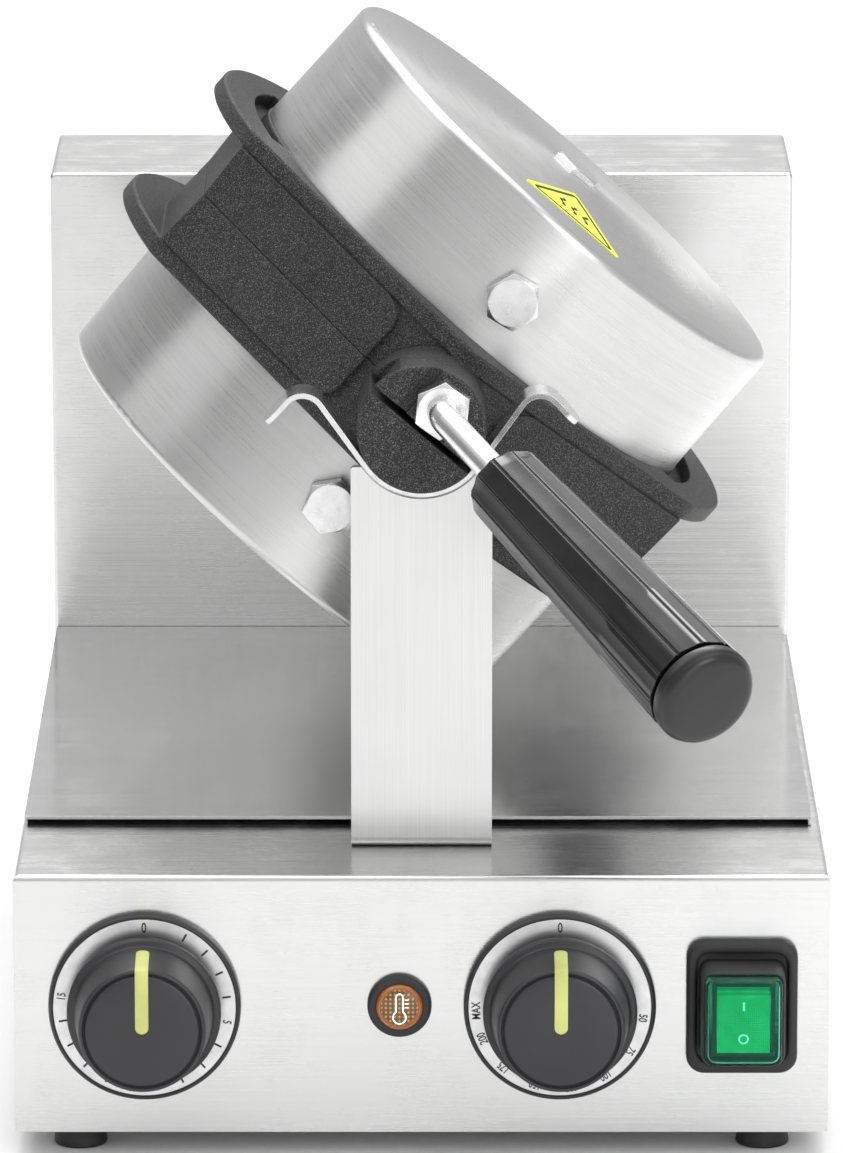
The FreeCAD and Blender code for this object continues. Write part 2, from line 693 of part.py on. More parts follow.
def crown(lift):
    """The shallow cone on a cover's face, with a flat seat for its bolt, moved up by "lift"."""
    return Part.makeCone(COVER_TOP_R - COVER_EDGE, CROWN_FLAT_R, CROWN, V(0, 0, COVER_TOP + lift), V(0, 0, 1))


def cover_bolts():
    """The centre bolt through the cover's face and the side bolt in front."""
    seat = COVER_TOP + CROWN
    centre = fuse([hexagon(M10_FLATS, V(0, 0, seat), V(0, 0, 1), CENTRE_HEAD, 15),
                   rod(M10_R, V(0, 0, 6), V(0, 0, 1), seat - 6)])
    side = fuse([hexagon(M10_FLATS, V(0, SIDE_BOLT_SEAT, SIDE_BOLT_UP), V(0, -1, 0), M10_HEAD, 10),
                 rod(M10_R, V(0, SIDE_BOLT_SEAT, SIDE_BOLT_UP), V(0, 1, 0), 16)])
    return group([centre, side])


def side_nut():
    """Nut inside the cover on the side bolt."""
    nut = hexagon(M10_FLATS, V(0, SIDE_NUT_FRONT, SIDE_BOLT_UP), V(0, 1, 0), M10_NUT, 10)
    return nut.cut(rod(M10_R, V(0, -100, SIDE_BOLT_UP), V(0, 1, 0), 40))


def heater():
    """Tubular heating element bent to an open ring on the pocket's floor."""
    level = POCKET_FLOOR + HEATER_TUBE_R
    ring = Part.makeTorus(HEATER_R, HEATER_TUBE_R, V(0, 0, level), V(0, 0, 1), -180, 180, 330)
    ring.rotate(V(0, 0, level), V(0, 0, 1), 105)
    return ring


def insulation():
    """Mineral wool that fills the pocket and the cover, grooved over the heating element."""
    low = POCKET_FLOOR + 0.3
    pad = rod(POCKET_R - 1, V(0, 0, low), V(0, 0, 1), COVER_TOP - 2 - low)
    pad = pad.cut(rod(M10_R + 0.5, V(0, 0, 0), V(0, 0, 1), 100))
    groove = tube(HEATER_R + HEATER_TUBE_R + 0.5, HEATER_R - HEATER_TUBE_R - 0.5, V(0, 0, low - 1), V(0, 0, 1),
                  2 * HEATER_TUBE_R + 1.5)
    pad = pad.cut(groove)
    return pad.cut(rod(13.0, V(0, -100, SIDE_BOLT_UP), V(0, 1, 0), 30))


def handed(build, lower):
    """Builds a shared piece for one half and places it in the machine."""
    shape = build()
    if lower:
        shape = to_lower(shape)
    return place_drum(shape)


def hinge_pins():
    """Two headed pins, fixed in the lower ears, that the lid turns on."""
    pins = []
    for side in (-1, 1):
        inner = side * (EAR_IN - 1)
        outer = side * (EAR_OUT + 0.3)
        shank = rod(PIN_R, V(inner, HINGE_BACK, HINGE_UP), V(side, 0, 0), abs(outer - inner))
        head = rod(PIN_R + 2.5, V(outer, HINGE_BACK, HINGE_UP), V(side, 0, 0), 3)
        pins.append(fuse([shank, head]))
    return place_drum(group(pins))


def cover_label():
    """Thin triangular sticker near the front of the upper cover's face."""
    apex = LABEL_FRONT + LABEL_SIDE * math.sqrt(3) / 2
    left = V(-LABEL_SIDE / 2, LABEL_FRONT, 0)
    points = [left, V(LABEL_SIDE / 2, LABEL_FRONT, 0), V(0, apex, 0), left]
    prism = Part.Face(Part.makePolygon(points)).extrude(V(0, 0, 100))
    prism = prism.makeFillet(1.5, [e for e in prism.Edges if is_along(e, V(0, 0, 1))])
    return place_drum(prism.common(crown(0.3).cut(crown(0))))


# ---------------------------------------------------------------- handle

def handle_direction():
    """Unit vector of the handle in the drum's frame."""
    lean = math.radians(HANDLE_LEAN)
    return V(math.sin(_swing) * math.cos(lean), -math.cos(_swing), math.sin(_swing) * math.sin(lean))


def handle_point(distance):
    """A point on the handle's straight axis, measured from the bend's vertex."""
    vertex = V(0, ROD_VERTEX_DEPTH - DRUM_DEPTH, ROD_UP)
    return vertex + handle_direction() * distance


def handle_nut():
    """Lock nut of the handle rod on the hub's face."""
    front = HUB_FRONT_DEPTH - DRUM_DEPTH
    nut = hexagon(M10_FLATS, V(0, front, ROD_UP), V(0, -1, 0), M10_NUT, 5)
    return place_drum(nut.cut(rod(ROD_R, V(0, front + 1, ROD_UP), V(0, -1, 0), 12)))


def handle_rod():
    """Round rod screwed into the hub, bent once towards the grip."""
    tangent = ROD_BEND_R * math.tan(_swing / 2)
    vertex = handle_point(0)
    start = V(0, HUB_FRONT_DEPTH - DRUM_DEPTH + 14, ROD_UP)
    bend_in = vertex + V(0, tangent, 0)
    bend_out = handle_point(tangent)
    inward = (handle_direction() + V(0, 1, 0)).normalize()
    centre_gap = ROD_BEND_R / math.cos(_swing / 2)
    middle = vertex + inward * (centre_gap - ROD_BEND_R)
    path = Part.Wire([Part.makeLine(start, bend_in),
                      Part.Arc(bend_in, middle, bend_out).toShape(),
                      Part.makeLine(bend_out, handle_point(GRIP_END - 12))])
    section = Part.Wire(Part.Circle(start, V(0, -1, 0), ROD_R).toShape())
    return place_drum(path.makePipeShell([section], True, False))


def grip_wire(radius, distance):
    """Fluted outline: broad flats with a fine groove between each pair."""
    points = []
    step = 360.0 / GRIP_FLATS
    for i in range(GRIP_FLATS):
        for share, depth in ((-0.5, 0.9), (-0.44, 0.0), (0.44, 0.0)):
            angle = math.radians((i + share) * step)
            points.append(V((radius - depth) * math.cos(angle), (radius - depth) * math.sin(angle), distance))
    return Part.makePolygon(points + points[:1])


def along_handle(shape):
    """Turns a shape built on +Z so that it lies along the handle."""
    turned = shape.copy()
    turned.Placement = FreeCAD.Placement(handle_point(0), FreeCAD.Rotation(V(0, 0, 1), handle_direction()))
    return turned


def handle_grip():
    """Moulded grip, fluted and wider at its free end, with a neck for the cap."""
    slope = (GRIP_END_R - GRIP_START_R) / (GRIP_END - GRIP_START)
    neck_start = GRIP_END - 1.5
    body = Part.makeLoft([grip_wire(GRIP_START_R, GRIP_START),
                          grip_wire(GRIP_START_R + slope * (neck_start - GRIP_START), neck_start)], True, True)
    shoulder = Part.makeCone(GRIP_START_R - 1.6, GRIP_START_R + 14, 15.6, V(0, 0, GRIP_START), V(0, 0, 1))
    body = body.common(fuse([shoulder, rod(30, V(0, 0, GRIP_START + 3), V(0, 0, 1), 200)]))
    neck = rod(GRIP_END_R - 2, V(0, 0, neck_start), V(0, 0, 1), GRIP_END - neck_start)
    bore = rod(ROD_R, V(0, 0, GRIP_START - 1), V(0, 0, 1), GRIP_END - 12 - GRIP_START + 1)
    return place_drum(along_handle(fuse([body, neck]).cut(bore)))


def handle_end_cap():
    """Round cap on the grip's free end."""
    cap = rod(GRIP_END_R, V(0, 0, GRIP_END), V(0, 0, 1), CAP_END - GRIP_END)
    rim = [e for e in cap.Edges if e.BoundBox.ZMin > CAP_END - 0.1]
    return place_drum(along_handle(cap.makeFillet(CAP_EDGE, rim)))


# ---------------------------------------------------------------- shaft and bearing

def drum_shaft():
    """Hollow rear shaft; the heating leads run through it."""
    length = SHAFT_END_DEPTH - DRUM_DEPTH - SHAFT_FRONT
    shaft = tube(SHAFT_R, SHAFT_BORE_R, V(0, SHAFT_FRONT, 0), V(0, 1, 0), length)
    groove = tube(SHAFT_R + 1, SHAFT_R - 1, V(0, CLIP_DEPTH - DRUM_DEPTH, 0), V(0, 1, 0), CLIP_THICK)
    return place_drum(shaft.cut(groove))


def stop_collar():
    """Collar on the shaft with the arm that limits the half turn."""
    start = V(0, COLLAR_DEPTH - DRUM_DEPTH, 0)
    ring = rod(SHAFT_R + 8, start, V(0, 1, 0), COLLAR_LENGTH)
    arm = box((0, STOP_X + 5), (start.y, start.y + COLLAR_LENGTH), (-STOP_ARM_HALF, STOP_ARM_HALF))
    return place_drum(fuse([ring, arm]).cut(rod(SHAFT_R, start, V(0, 1, 0), COLLAR_LENGTH)))


def retaining_ring():
    """Snap ring in the shaft's groove."""
    start = V(0, CLIP_DEPTH - DRUM_DEPTH, 0)
    ring = tube(SHAFT_R + 3, SHAFT_R - 1, start, V(0, 1, 0), CLIP_THICK)
    gap = box((-2.5, 2.5), (start.y - 1, start.y + 3), (0, 20))
    return place_drum(ring.cut(gap))


def bearing_housing():
    """Square-flanged bearing block behind the rear box's front wall."""
    front = REAR_FRONT_DEPTH + SHEET
    wide, high = FLANGE_SCREW_X + 9, FLANGE_SCREW_Z + 8
    flange = depth_box((-wide, wide), (front, front + BEARING_FLANGE), (AXIS_Z - high, AXIS_Z + high))
    upright = edges_where(flange, lambda e, m: is_along(e, V(0, 1, 0)))
    flange = flange.makeFillet(6, upright)
    boss = rod(BUSH_R + 6, V(0, y_at(front), AXIS_Z), V(0, 1, 0), BEARING_BACK_DEPTH - front)
    block = fuse([flange, boss]).cut(rod(BUSH_R, V(0, y_at(front - 1), AXIS_Z), V(0, 1, 0), 60))
    for x, z in flange_corners():
        block = block.cut(rod(M5_HOLE_R, V(x, y_at(front - 1), z), V(0, 1, 0), 12))
    for x in (-STOP_X, STOP_X):
        block = block.cut(rod(STOP_PIN_R, V(x, y_at(front + 2), stop_z()), V(0, 1, 0), 12))
    return block


def bearing_screws():
    """Screws that clamp the bearing block to the rear box's front wall."""
    screws = []
    front = REAR_FRONT_DEPTH
    for x, z in flange_corners():
        head = rod(4.5, V(x, y_at(front - 3), z), V(0, 1, 0), 3)
        head = head.makeFillet(1.6, [e for e in head.Edges if e.BoundBox.YMax < y_at(front - 2.9)])
        socket = hexagon(3.0, V(x, y_at(front - 1.4), z), V(0, -1, 0), 3)
        shank = rod(M5_HOLE_R, V(x, y_at(front), z), V(0, 1, 0), SHEET + BEARING_FLANGE + 3)
        screws.append(fuse([head, shank]).cut(socket))
    return group(screws)


def shaft_bush():
    """Plain bearing bush that the drum shaft turns in."""
    start = V(0, y_at(REAR_FRONT_DEPTH + SHEET), AXIS_Z)
    length = BEARING_BACK_DEPTH - REAR_FRONT_DEPTH - SHEET
    return tube(BUSH_R, SHAFT_R + RUN, start, V(0, 1, 0), length)


def stop_z():
    """Height of the stop pins, just above the arm's two end positions."""
    return AXIS_Z + STOP_ARM_HALF + STOP_PIN_R + STOP_CLEAR


def stop_pins():
    """Two pins in the bearing block that the arm meets after half a turn."""
    start = REAR_FRONT_DEPTH + SHEET + 2
    length = COLLAR_DEPTH + COLLAR_LENGTH - start
    starts = [V(x, y_at(start), stop_z()) for x in (-STOP_X, STOP_X)]
    return group([rod(STOP_PIN_R, place, V(0, 1, 0), length) for place in starts])


# ---------------------------------------------------------------- controls

def panel_point(x, depth):
    """A point at the controls' height."""
    return V(x, y_at(depth), PANEL_Z)


def dial(x):
    """Moulded bezel behind a knob, with a seat for the scale plate."""
    bezel = rod(DIAL_R, panel_point(x, -DIAL_THICK), V(0, 1, 0), DIAL_THICK)
    bezel = bezel.makeFillet(DIAL_EDGE, [e for e in bezel.Edges if e.BoundBox.YMax < y_at(0.1 - DIAL_THICK)])
    seat = SCALE_REACH - SCALE_THICK
    bezel = bezel.cut(rod(SCALE_R, panel_point(x, -DIAL_THICK - 1), V(0, 1, 0), DIAL_THICK + 1 - seat))
    return bezel.cut(rod(NOSE_R + 0.1, panel_point(x, -5), V(0, 1, 0), 10))


def scale(x):
    """Printed scale plate let into the bezel."""
    return tube(SCALE_R, NOSE_R + 0.1, panel_point(x, -SCALE_REACH), V(0, 1, 0), SCALE_THICK)


def knob_profile(grow):
    """Half section of a knob: x is the radius and y the distance in front of the panel."""
    boss_back = DIAL_THICK + 0.4
    face = KNOB_REACH + grow
    return [(0, boss_back), (KNOB_BOSS_R, boss_back), (KNOB_BOSS_R, SKIRT_BACK), (SKIRT_R + grow, SKIRT_BACK),
            (SKIRT_R + grow, SKIRT_FRONT), (KNOB_BODY_R + grow, SKIRT_FRONT + 1.0),
            (KNOB_SHOULDER_R + grow, face - KNOB_SHOULDER), (KNOB_SHOULDER_R - KNOB_SHOULDER + grow, face), (0, face)]


def turned_knob(x, grow=0.0):
    """The knob's turned body on its spindle axis."""
    centre = panel_point(x, 0)
    points = [centre + V(r, -reach, 0) for r, reach in knob_profile(grow)]
    return revolve(points, centre, V(0, 1, 0))


def pointer(x):
    """Coloured bar let into the knob from its skirt over the shoulder to the face's middle."""
    centre = panel_point(x, 0)
    half = POINTER_WIDTH / 2
    slab = box((x - half, x + half), (centre.y - 60, centre.y - SKIRT_FRONT - 3.6), (PANEL_Z - 0.8, PANEL_Z + 24))
    skin = turned_knob(x, 0.35).cut(turned_knob(x, -0.8))
    return skin.common(slab)


def knob(x):
    """Knob body, hollowed for the spindle and the pointer bar."""
    body = turned_knob(x).cut(pointer(x))
    return body.cut(rod(SPINDLE_R, panel_point(x, -SPINDLE_REACH), V(0, 1, 0), 30))


def spindle(x):
    """Control spindle fixed in the knob."""
    return rod(SPINDLE_R, panel_point(x, -SPINDLE_REACH), V(0, 1, 0), SPINDLE_REACH + SPINDLE_BACK)


def timer_body():
    """Clockwork timer case behind the panel."""
    half = 24.0
    case = depth_box((TIMER_X - half, TIMER_X + half), (SHEET + 1, SHEET + 34), (PANEL_Z - half, PANEL_Z + half))
    nose = rod(NOSE_R, panel_point(TIMER_X, 0), V(0, 1, 0), 6)
    return fuse([case, nose]).cut(rod(SPINDLE_R + RUN, panel_point(TIMER_X, -2), V(0, 1, 0), 22))


def thermostat_body():
    """Capillary thermostat case behind the panel."""
    wide, high = 20.0, 18.0
    case = depth_box((THERMOSTAT_X - wide, THERMOSTAT_X + wide), (SHEET + 1, SHEET + 30),
                     (PANEL_Z - high, PANEL_Z + high))
    nose = rod(NOSE_R, panel_point(THERMOSTAT_X, 0), V(0, 1, 0), 6)
    return fuse([case, nose]).cut(rod(SPINDLE_R + RUN, panel_point(THERMOSTAT_X, -2), V(0, 1, 0), 22))


def lamp_bezel():
    """Round rubber seal of the indicator lamp."""
    ring = tube(LAMP_SEAL_R, LAMP_R, panel_point(LAMP_X, -3), V(0, 1, 0), 3)
    rim = [e for e in ring.Edges if e.BoundBox.YMax < y_at(-2.9) and e.BoundBox.XLength > 17]
    return ring.makeFillet(1.4, rim)


def lamp_lens():
    """Amber lens with a low dome."""
    lens = rod(LAMP_R, panel_point(LAMP_X, -4.6), V(0, 1, 0), 4.6)
    rim = [e for e in lens.Edges if e.BoundBox.YMax < y_at(-4.5)]
    return lens.makeFillet(1.8, rim)


def lamp_body():
    """Neon lamp holder behind the panel."""
    return rod(LAMP_R - 0.25, panel_point(LAMP_X, 0), V(0, 1, 0), 26)


def rounded_block(x, depth, z, corner):
    """A block with rounded edges along its depth."""
    block = depth_box(x, depth, z)
    return block.makeFillet(corner, edges_where(block, lambda e, m: is_along(e, V(0, 1, 0))))


def switch_block(half, depth, corner=0.0):
    """A block round the switch's centre, with its edges rounded along its depth if asked."""
    limits = ((SWITCH_X - half[0], SWITCH_X + half[0]), depth, (PANEL_Z - half[1], PANEL_Z + half[1]))
    return rounded_block(*limits, corner) if corner else depth_box(*limits)


def switch_frame():
    """Rubber frame of the splash-proof switch, with a recess and a collar round the boot."""
    frame = switch_block(SWITCH_FRAME_HALF, (-SWITCH_FRAME_REACH, 0), 6.0)
    rim = [e for e in frame.Edges if e.BoundBox.YMax < y_at(0.1 - SWITCH_FRAME_REACH)]
    recess = switch_block((15.2, 18.8), (-SWITCH_FRAME_REACH - 1, -2.5), 4.0)
    frame = frame.makeFillet(2.0, rim).cut(recess)
    collar = switch_block([size + 1.2 for size in SWITCH_HALF], (-SWITCH_COLLAR_REACH, 0), 3.6)
    return fuse([frame, collar]).cut(switch_block(SWITCH_HALF, (-SWITCH_COLLAR_REACH - 1, 1), 2.5))


def switch_cover():
    """Thin clear boot over the rocker."""
    outer = switch_block(SWITCH_HALF, (-SWITCH_COVER_REACH, 0), 2.5)
    rim = [e for e in outer.Edges if e.BoundBox.YMax < y_at(0.1 - SWITCH_COVER_REACH)]
    inner = switch_block([size - SWITCH_WALL for size in SWITCH_HALF], (SWITCH_WALL - SWITCH_COVER_REACH, 1))
    return outer.makeFillet(2.0, rim).cut(inner)


def switch_body():
    """Switch case through the panel, with a well for the rocker."""
    well = switch_block((9.2, 11.8), (-ROCKER_REACH - 6, 6 - ROCKER_REACH))
    return switch_block((10.8, 13.4), (-ROCKER_REACH - 5, 28)).cut(well)


def switch_rocker():
    """Green rocker resting in its off position, with its lower end pressed in."""
    pivot = panel_point(SWITCH_X, -ROCKER_REACH)
    half, end = ROCKER_HALF
    points = [V(-half, 0, -end), V(-half, -9.5, -end), V(-half, -8.4, 0), V(-half, -9.5, end),
              V(-half, 0, end), V(-half, 4, 0), V(-half, 0, -end)]
    block = Part.Face(Part.makePolygon(points)).extrude(V(2 * half, 0, 0))
    block.translate(pivot)
    block.rotate(pivot, V(1, 0, 0), ROCKER_TILT)
    return block


# ---------------------------------------------------------------- wiring

def gland_z():
    """Height of the cord gland above the counter."""
    return FOOT_HEIGHT + GLAND_UP


def cable_gland():
    """Cord gland through the rear panel, with a round cord passage."""
    start = V(GLAND_X, y_at(BASE_DEPTH), gland_z())
    collar = hexagon(20.0, start, V(0, 1, 0), 6)
    dome = Part.makeCone(GLAND_R, 6.5, GLAND_REACH - 5, start + V(0, 5, 0), V(0, 1, 0))
    thread = rod(GLAND_R - 2, start - V(0, 9, 0), V(0, 1, 0), 10)
    return fuse([collar, dome, thread]).cut(rod(CORD_R, start - V(0, 10, 0), V(0, 1, 0), 40))


def gland_nut():
    """Lock nut of the gland inside the rear panel."""
    start = V(GLAND_X, y_at(BASE_DEPTH - BACK_RETURN), gland_z())
    nut = hexagon(20.0, start, V(0, -1, 0), 5)
    return nut.cut(rod(GLAND_R - 2, start + V(0, 1, 0), V(0, -1, 0), 12))


def terminal_block():
    """Mains terminal block on the bottom plate."""
    low = FOOT_HEIGHT + SHEET
    block = depth_box((20, 70), (370, 392), (low, low + 18))
    wells = [rod(2.5, V(x, y_at(381), low + 8), V(0, 0, 1), 12) for x in (29, 45, 61)]
    return block.cut(group(wells))


NODES = {
    "base_shell": base_shell,
    "bottom_plate": bottom_plate,
    "rear_box": rear_box,
    "back_panel": back_panel,
    "screw_tabs": screw_tabs,
    "panel_screws": panel_screws,
    "feet": feet,
    "foot_studs": foot_studs,
    "foot_nuts": foot_nuts,
    "drip_tray": drip_tray,
    "front_bracket": front_bracket,
    "bracket_screws": bracket_screws,
    "hub_cradle": hub_cradle,
    "lower_casting": lower_casting,
    "lower_cover": lambda: handed(cover, True),
    "lower_cover_bolts": lambda: handed(cover_bolts, True),
    "lower_side_nut": lambda: handed(side_nut, True),
    "lower_heater": lambda: handed(heater, True),
    "lower_insulation": lambda: handed(insulation, True),
    "hinge_pins": hinge_pins,
    "drum_shaft": drum_shaft,
    "stop_collar": stop_collar,
    "retaining_ring": retaining_ring,
    "upper_casting": upper_casting,
    "upper_cover": lambda: handed(cover, False),
    "upper_cover_bolts": lambda: handed(cover_bolts, False),
    "upper_side_nut": lambda: handed(side_nut, False),
    "upper_heater": lambda: handed(heater, False),
    "upper_insulation": lambda: handed(insulation, False),
    "cover_label": cover_label,
    "handle_nut": handle_nut,
    "handle_rod": handle_rod,
    "handle_grip": handle_grip,
    "handle_end_cap": handle_end_cap,
    "bearing_housing": bearing_housing,
    "bearing_screws": bearing_screws,
    "shaft_bush": shaft_bush,
    "stop_pins": stop_pins,
    "timer_dial": lambda: dial(TIMER_X),
    "timer_scale": lambda: scale(TIMER_X),
    "timer_knob": lambda: knob(TIMER_X),
    "timer_pointer": lambda: pointer(TIMER_X),
    "timer_spindle": lambda: spindle(TIMER_X),
    "timer_body": timer_body,
    "thermostat_dial": lambda: dial(THERMOSTAT_X),
    "thermostat_scale": lambda: scale(THERMOSTAT_X),
    "thermostat_knob": lambda: knob(THERMOSTAT_X),
    "thermostat_pointer": lambda: pointer(THERMOSTAT_X),
    "thermostat_spindle": lambda: spindle(THERMOSTAT_X),
    "thermostat_body": thermostat_body,
    "lamp_bezel": lamp_bezel,
    "lamp_lens": lamp_lens,
    "lamp_body": lamp_body,
    "switch_frame": switch_frame,
    "switch_cover": switch_cover,
    "switch_body": switch_body,
    "switch_rocker": switch_rocker,
    "cable_gland": cable_gland,
    "gland_nut": gland_nut,
    "terminal_block": terminal_block,
}


def main():
    os.makedirs("parts", exist_ok=True)
    for node, build in NODES.items():
        shape = build()
        solids = len(shape.Solids)
        state = "ok" if shape.isValid() and solids else "BAD"
        print(f"{node:20s} {state} solids {solids} volume {shape.Volume / 1000:.2f} cm3")
        shape.exportStep(f"parts/{node}.step")


main()
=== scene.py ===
import json
import math

import bmesh
import bpy
from mathutils import Matrix, Vector
from mathutils.bvhtree import BVHTree


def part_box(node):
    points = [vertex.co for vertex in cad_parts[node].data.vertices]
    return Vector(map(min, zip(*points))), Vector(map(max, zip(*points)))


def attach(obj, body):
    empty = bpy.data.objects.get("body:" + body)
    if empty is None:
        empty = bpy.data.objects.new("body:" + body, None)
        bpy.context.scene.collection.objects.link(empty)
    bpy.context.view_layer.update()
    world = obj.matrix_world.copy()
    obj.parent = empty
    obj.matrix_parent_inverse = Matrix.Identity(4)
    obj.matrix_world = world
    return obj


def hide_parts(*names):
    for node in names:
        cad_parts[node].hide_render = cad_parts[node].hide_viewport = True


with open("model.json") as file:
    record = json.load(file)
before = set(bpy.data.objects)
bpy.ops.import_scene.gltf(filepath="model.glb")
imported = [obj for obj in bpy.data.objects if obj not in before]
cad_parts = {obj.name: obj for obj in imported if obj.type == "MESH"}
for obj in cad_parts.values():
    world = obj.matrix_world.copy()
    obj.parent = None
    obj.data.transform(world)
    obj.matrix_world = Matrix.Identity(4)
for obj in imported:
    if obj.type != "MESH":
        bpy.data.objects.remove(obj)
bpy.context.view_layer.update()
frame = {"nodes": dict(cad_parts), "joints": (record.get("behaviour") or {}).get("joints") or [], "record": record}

# Looks of a rotary waffle cone maker. The scene is in metres, and the shapes of pieces are in millimetres.
# The drum is the iron that turns over. Its own axes are x across, y back and z towards the lid.

MM = 0.001
TAU = 2 * math.pi

JOINTS = {joint["name"]: joint for joint in frame["joints"]}
SLOT_OF = {part["node"]: part["material_slot"] for part in frame["record"]["subparts"]}


def middle(node):
    """The middle of a node's box."""
    low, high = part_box(node)
    return (low + high) / 2


TILT = math.atan2(JOINTS["lid_hinge"]["axis"][2], -JOINTS["lid_hinge"]["axis"][0])
DRUM_CENTRE = Vector((0, middle("upper_insulation").y, JOINTS["drum_turn"]["pos_m"][2]))
DRUM = Matrix.Translation(DRUM_CENTRE) @ Matrix.Rotation(TILT, 4, "Y")
PANEL_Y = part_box("base_shell")[0].y
BASE_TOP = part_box("base_shell")[1].z
HANDLE_SWING = math.radians(34.3)
HANDLE_LEAN = math.radians(5.7)
HANDLE_VERTEX = Vector((0, -153.5, 10.5)) * MM


def handle_axes():
    """Axes of the handle: z runs along the grip from the rod's bend."""
    sideways = math.sin(HANDLE_SWING)
    forwards = math.cos(HANDLE_SWING)
    along = Vector((sideways * math.cos(HANDLE_LEAN), -forwards, sideways * math.sin(HANDLE_LEAN)))
    turn = Vector((0, 0, 1)).rotation_difference(along).to_matrix().to_4x4()
    return DRUM @ Matrix.Translation(HANDLE_VERTEX) @ turn


def control(node):
    """Axes of a control on the panel: x to the right, y up and z towards the user."""
    place = middle(node)
    return Matrix(((1, 0, 0, place.x), (0, 0, -1, PANEL_Y), (0, 1, 0, place.z), (0, 0, 0, 1)))


def half_size(node):
    """Half of a node's width and half of its height, in millimetres."""
    low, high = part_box(node)
    return (high.x - low.x) / 2 / MM, (high.z - low.z) / 2 / MM


def stand_out(node):
    """How far a node stands out of the panel, in millimetres."""
    return (PANEL_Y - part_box(node)[0].y) / MM


# ---------------------------------------------------------------- node trees

class Nodes:
    """Short calls for adding nodes to a tree. A value is plain, or it is another node's output."""

    def __init__(self, tree):
        self.tree = tree

    def node(self, kind, **settings):
        made = self.tree.nodes.new(kind)
        for name, value in settings.items():
            setattr(made, name, value)
        return made

    def feed(self, socket, value):
        """Links a socket, or sets a plain value."""
        if isinstance(value, bpy.types.NodeSocket):
            self.tree.links.new(value, socket)
        elif socket.type == "RGBA":
            socket.default_value = (*value, 1)
        else:
            socket.default_value = value

    def math(self, operation, a, b=0.5, c=0.5):
        made = self.node("ShaderNodeMath", operation=operation)
        for socket, value in zip(made.inputs, (a, b, c)):
            self.feed(socket, value)
        return made.outputs[0]

    def vector(self, operation, a, b=None, out="Vector"):
        made = self.node("ShaderNodeVectorMath", operation=operation)
        self.feed(made.inputs[0], a)
        if b is not None:
            self.feed(made.inputs[1], b)
        return made.outputs[out]

    def split(self, vector):
        made = self.node("ShaderNodeSeparateXYZ")
        self.feed(made.inputs[0], vector)
        return tuple(made.outputs)

    def join(self, x, y, z):
        made = self.node("ShaderNodeCombineXYZ")
        for socket, value in zip(made.inputs, (x, y, z)):
            self.feed(socket, value)
        return made.outputs[0]

    def span(self, value, low, high, new_low=0.0, new_high=1.0):
        """Maps a range of values to another, clamped."""
        made = self.node("ShaderNodeMapRange")
        for socket, number in zip(made.inputs, (value, low, high, new_low, new_high)):
            self.feed(socket, number)
        return made.outputs[0]


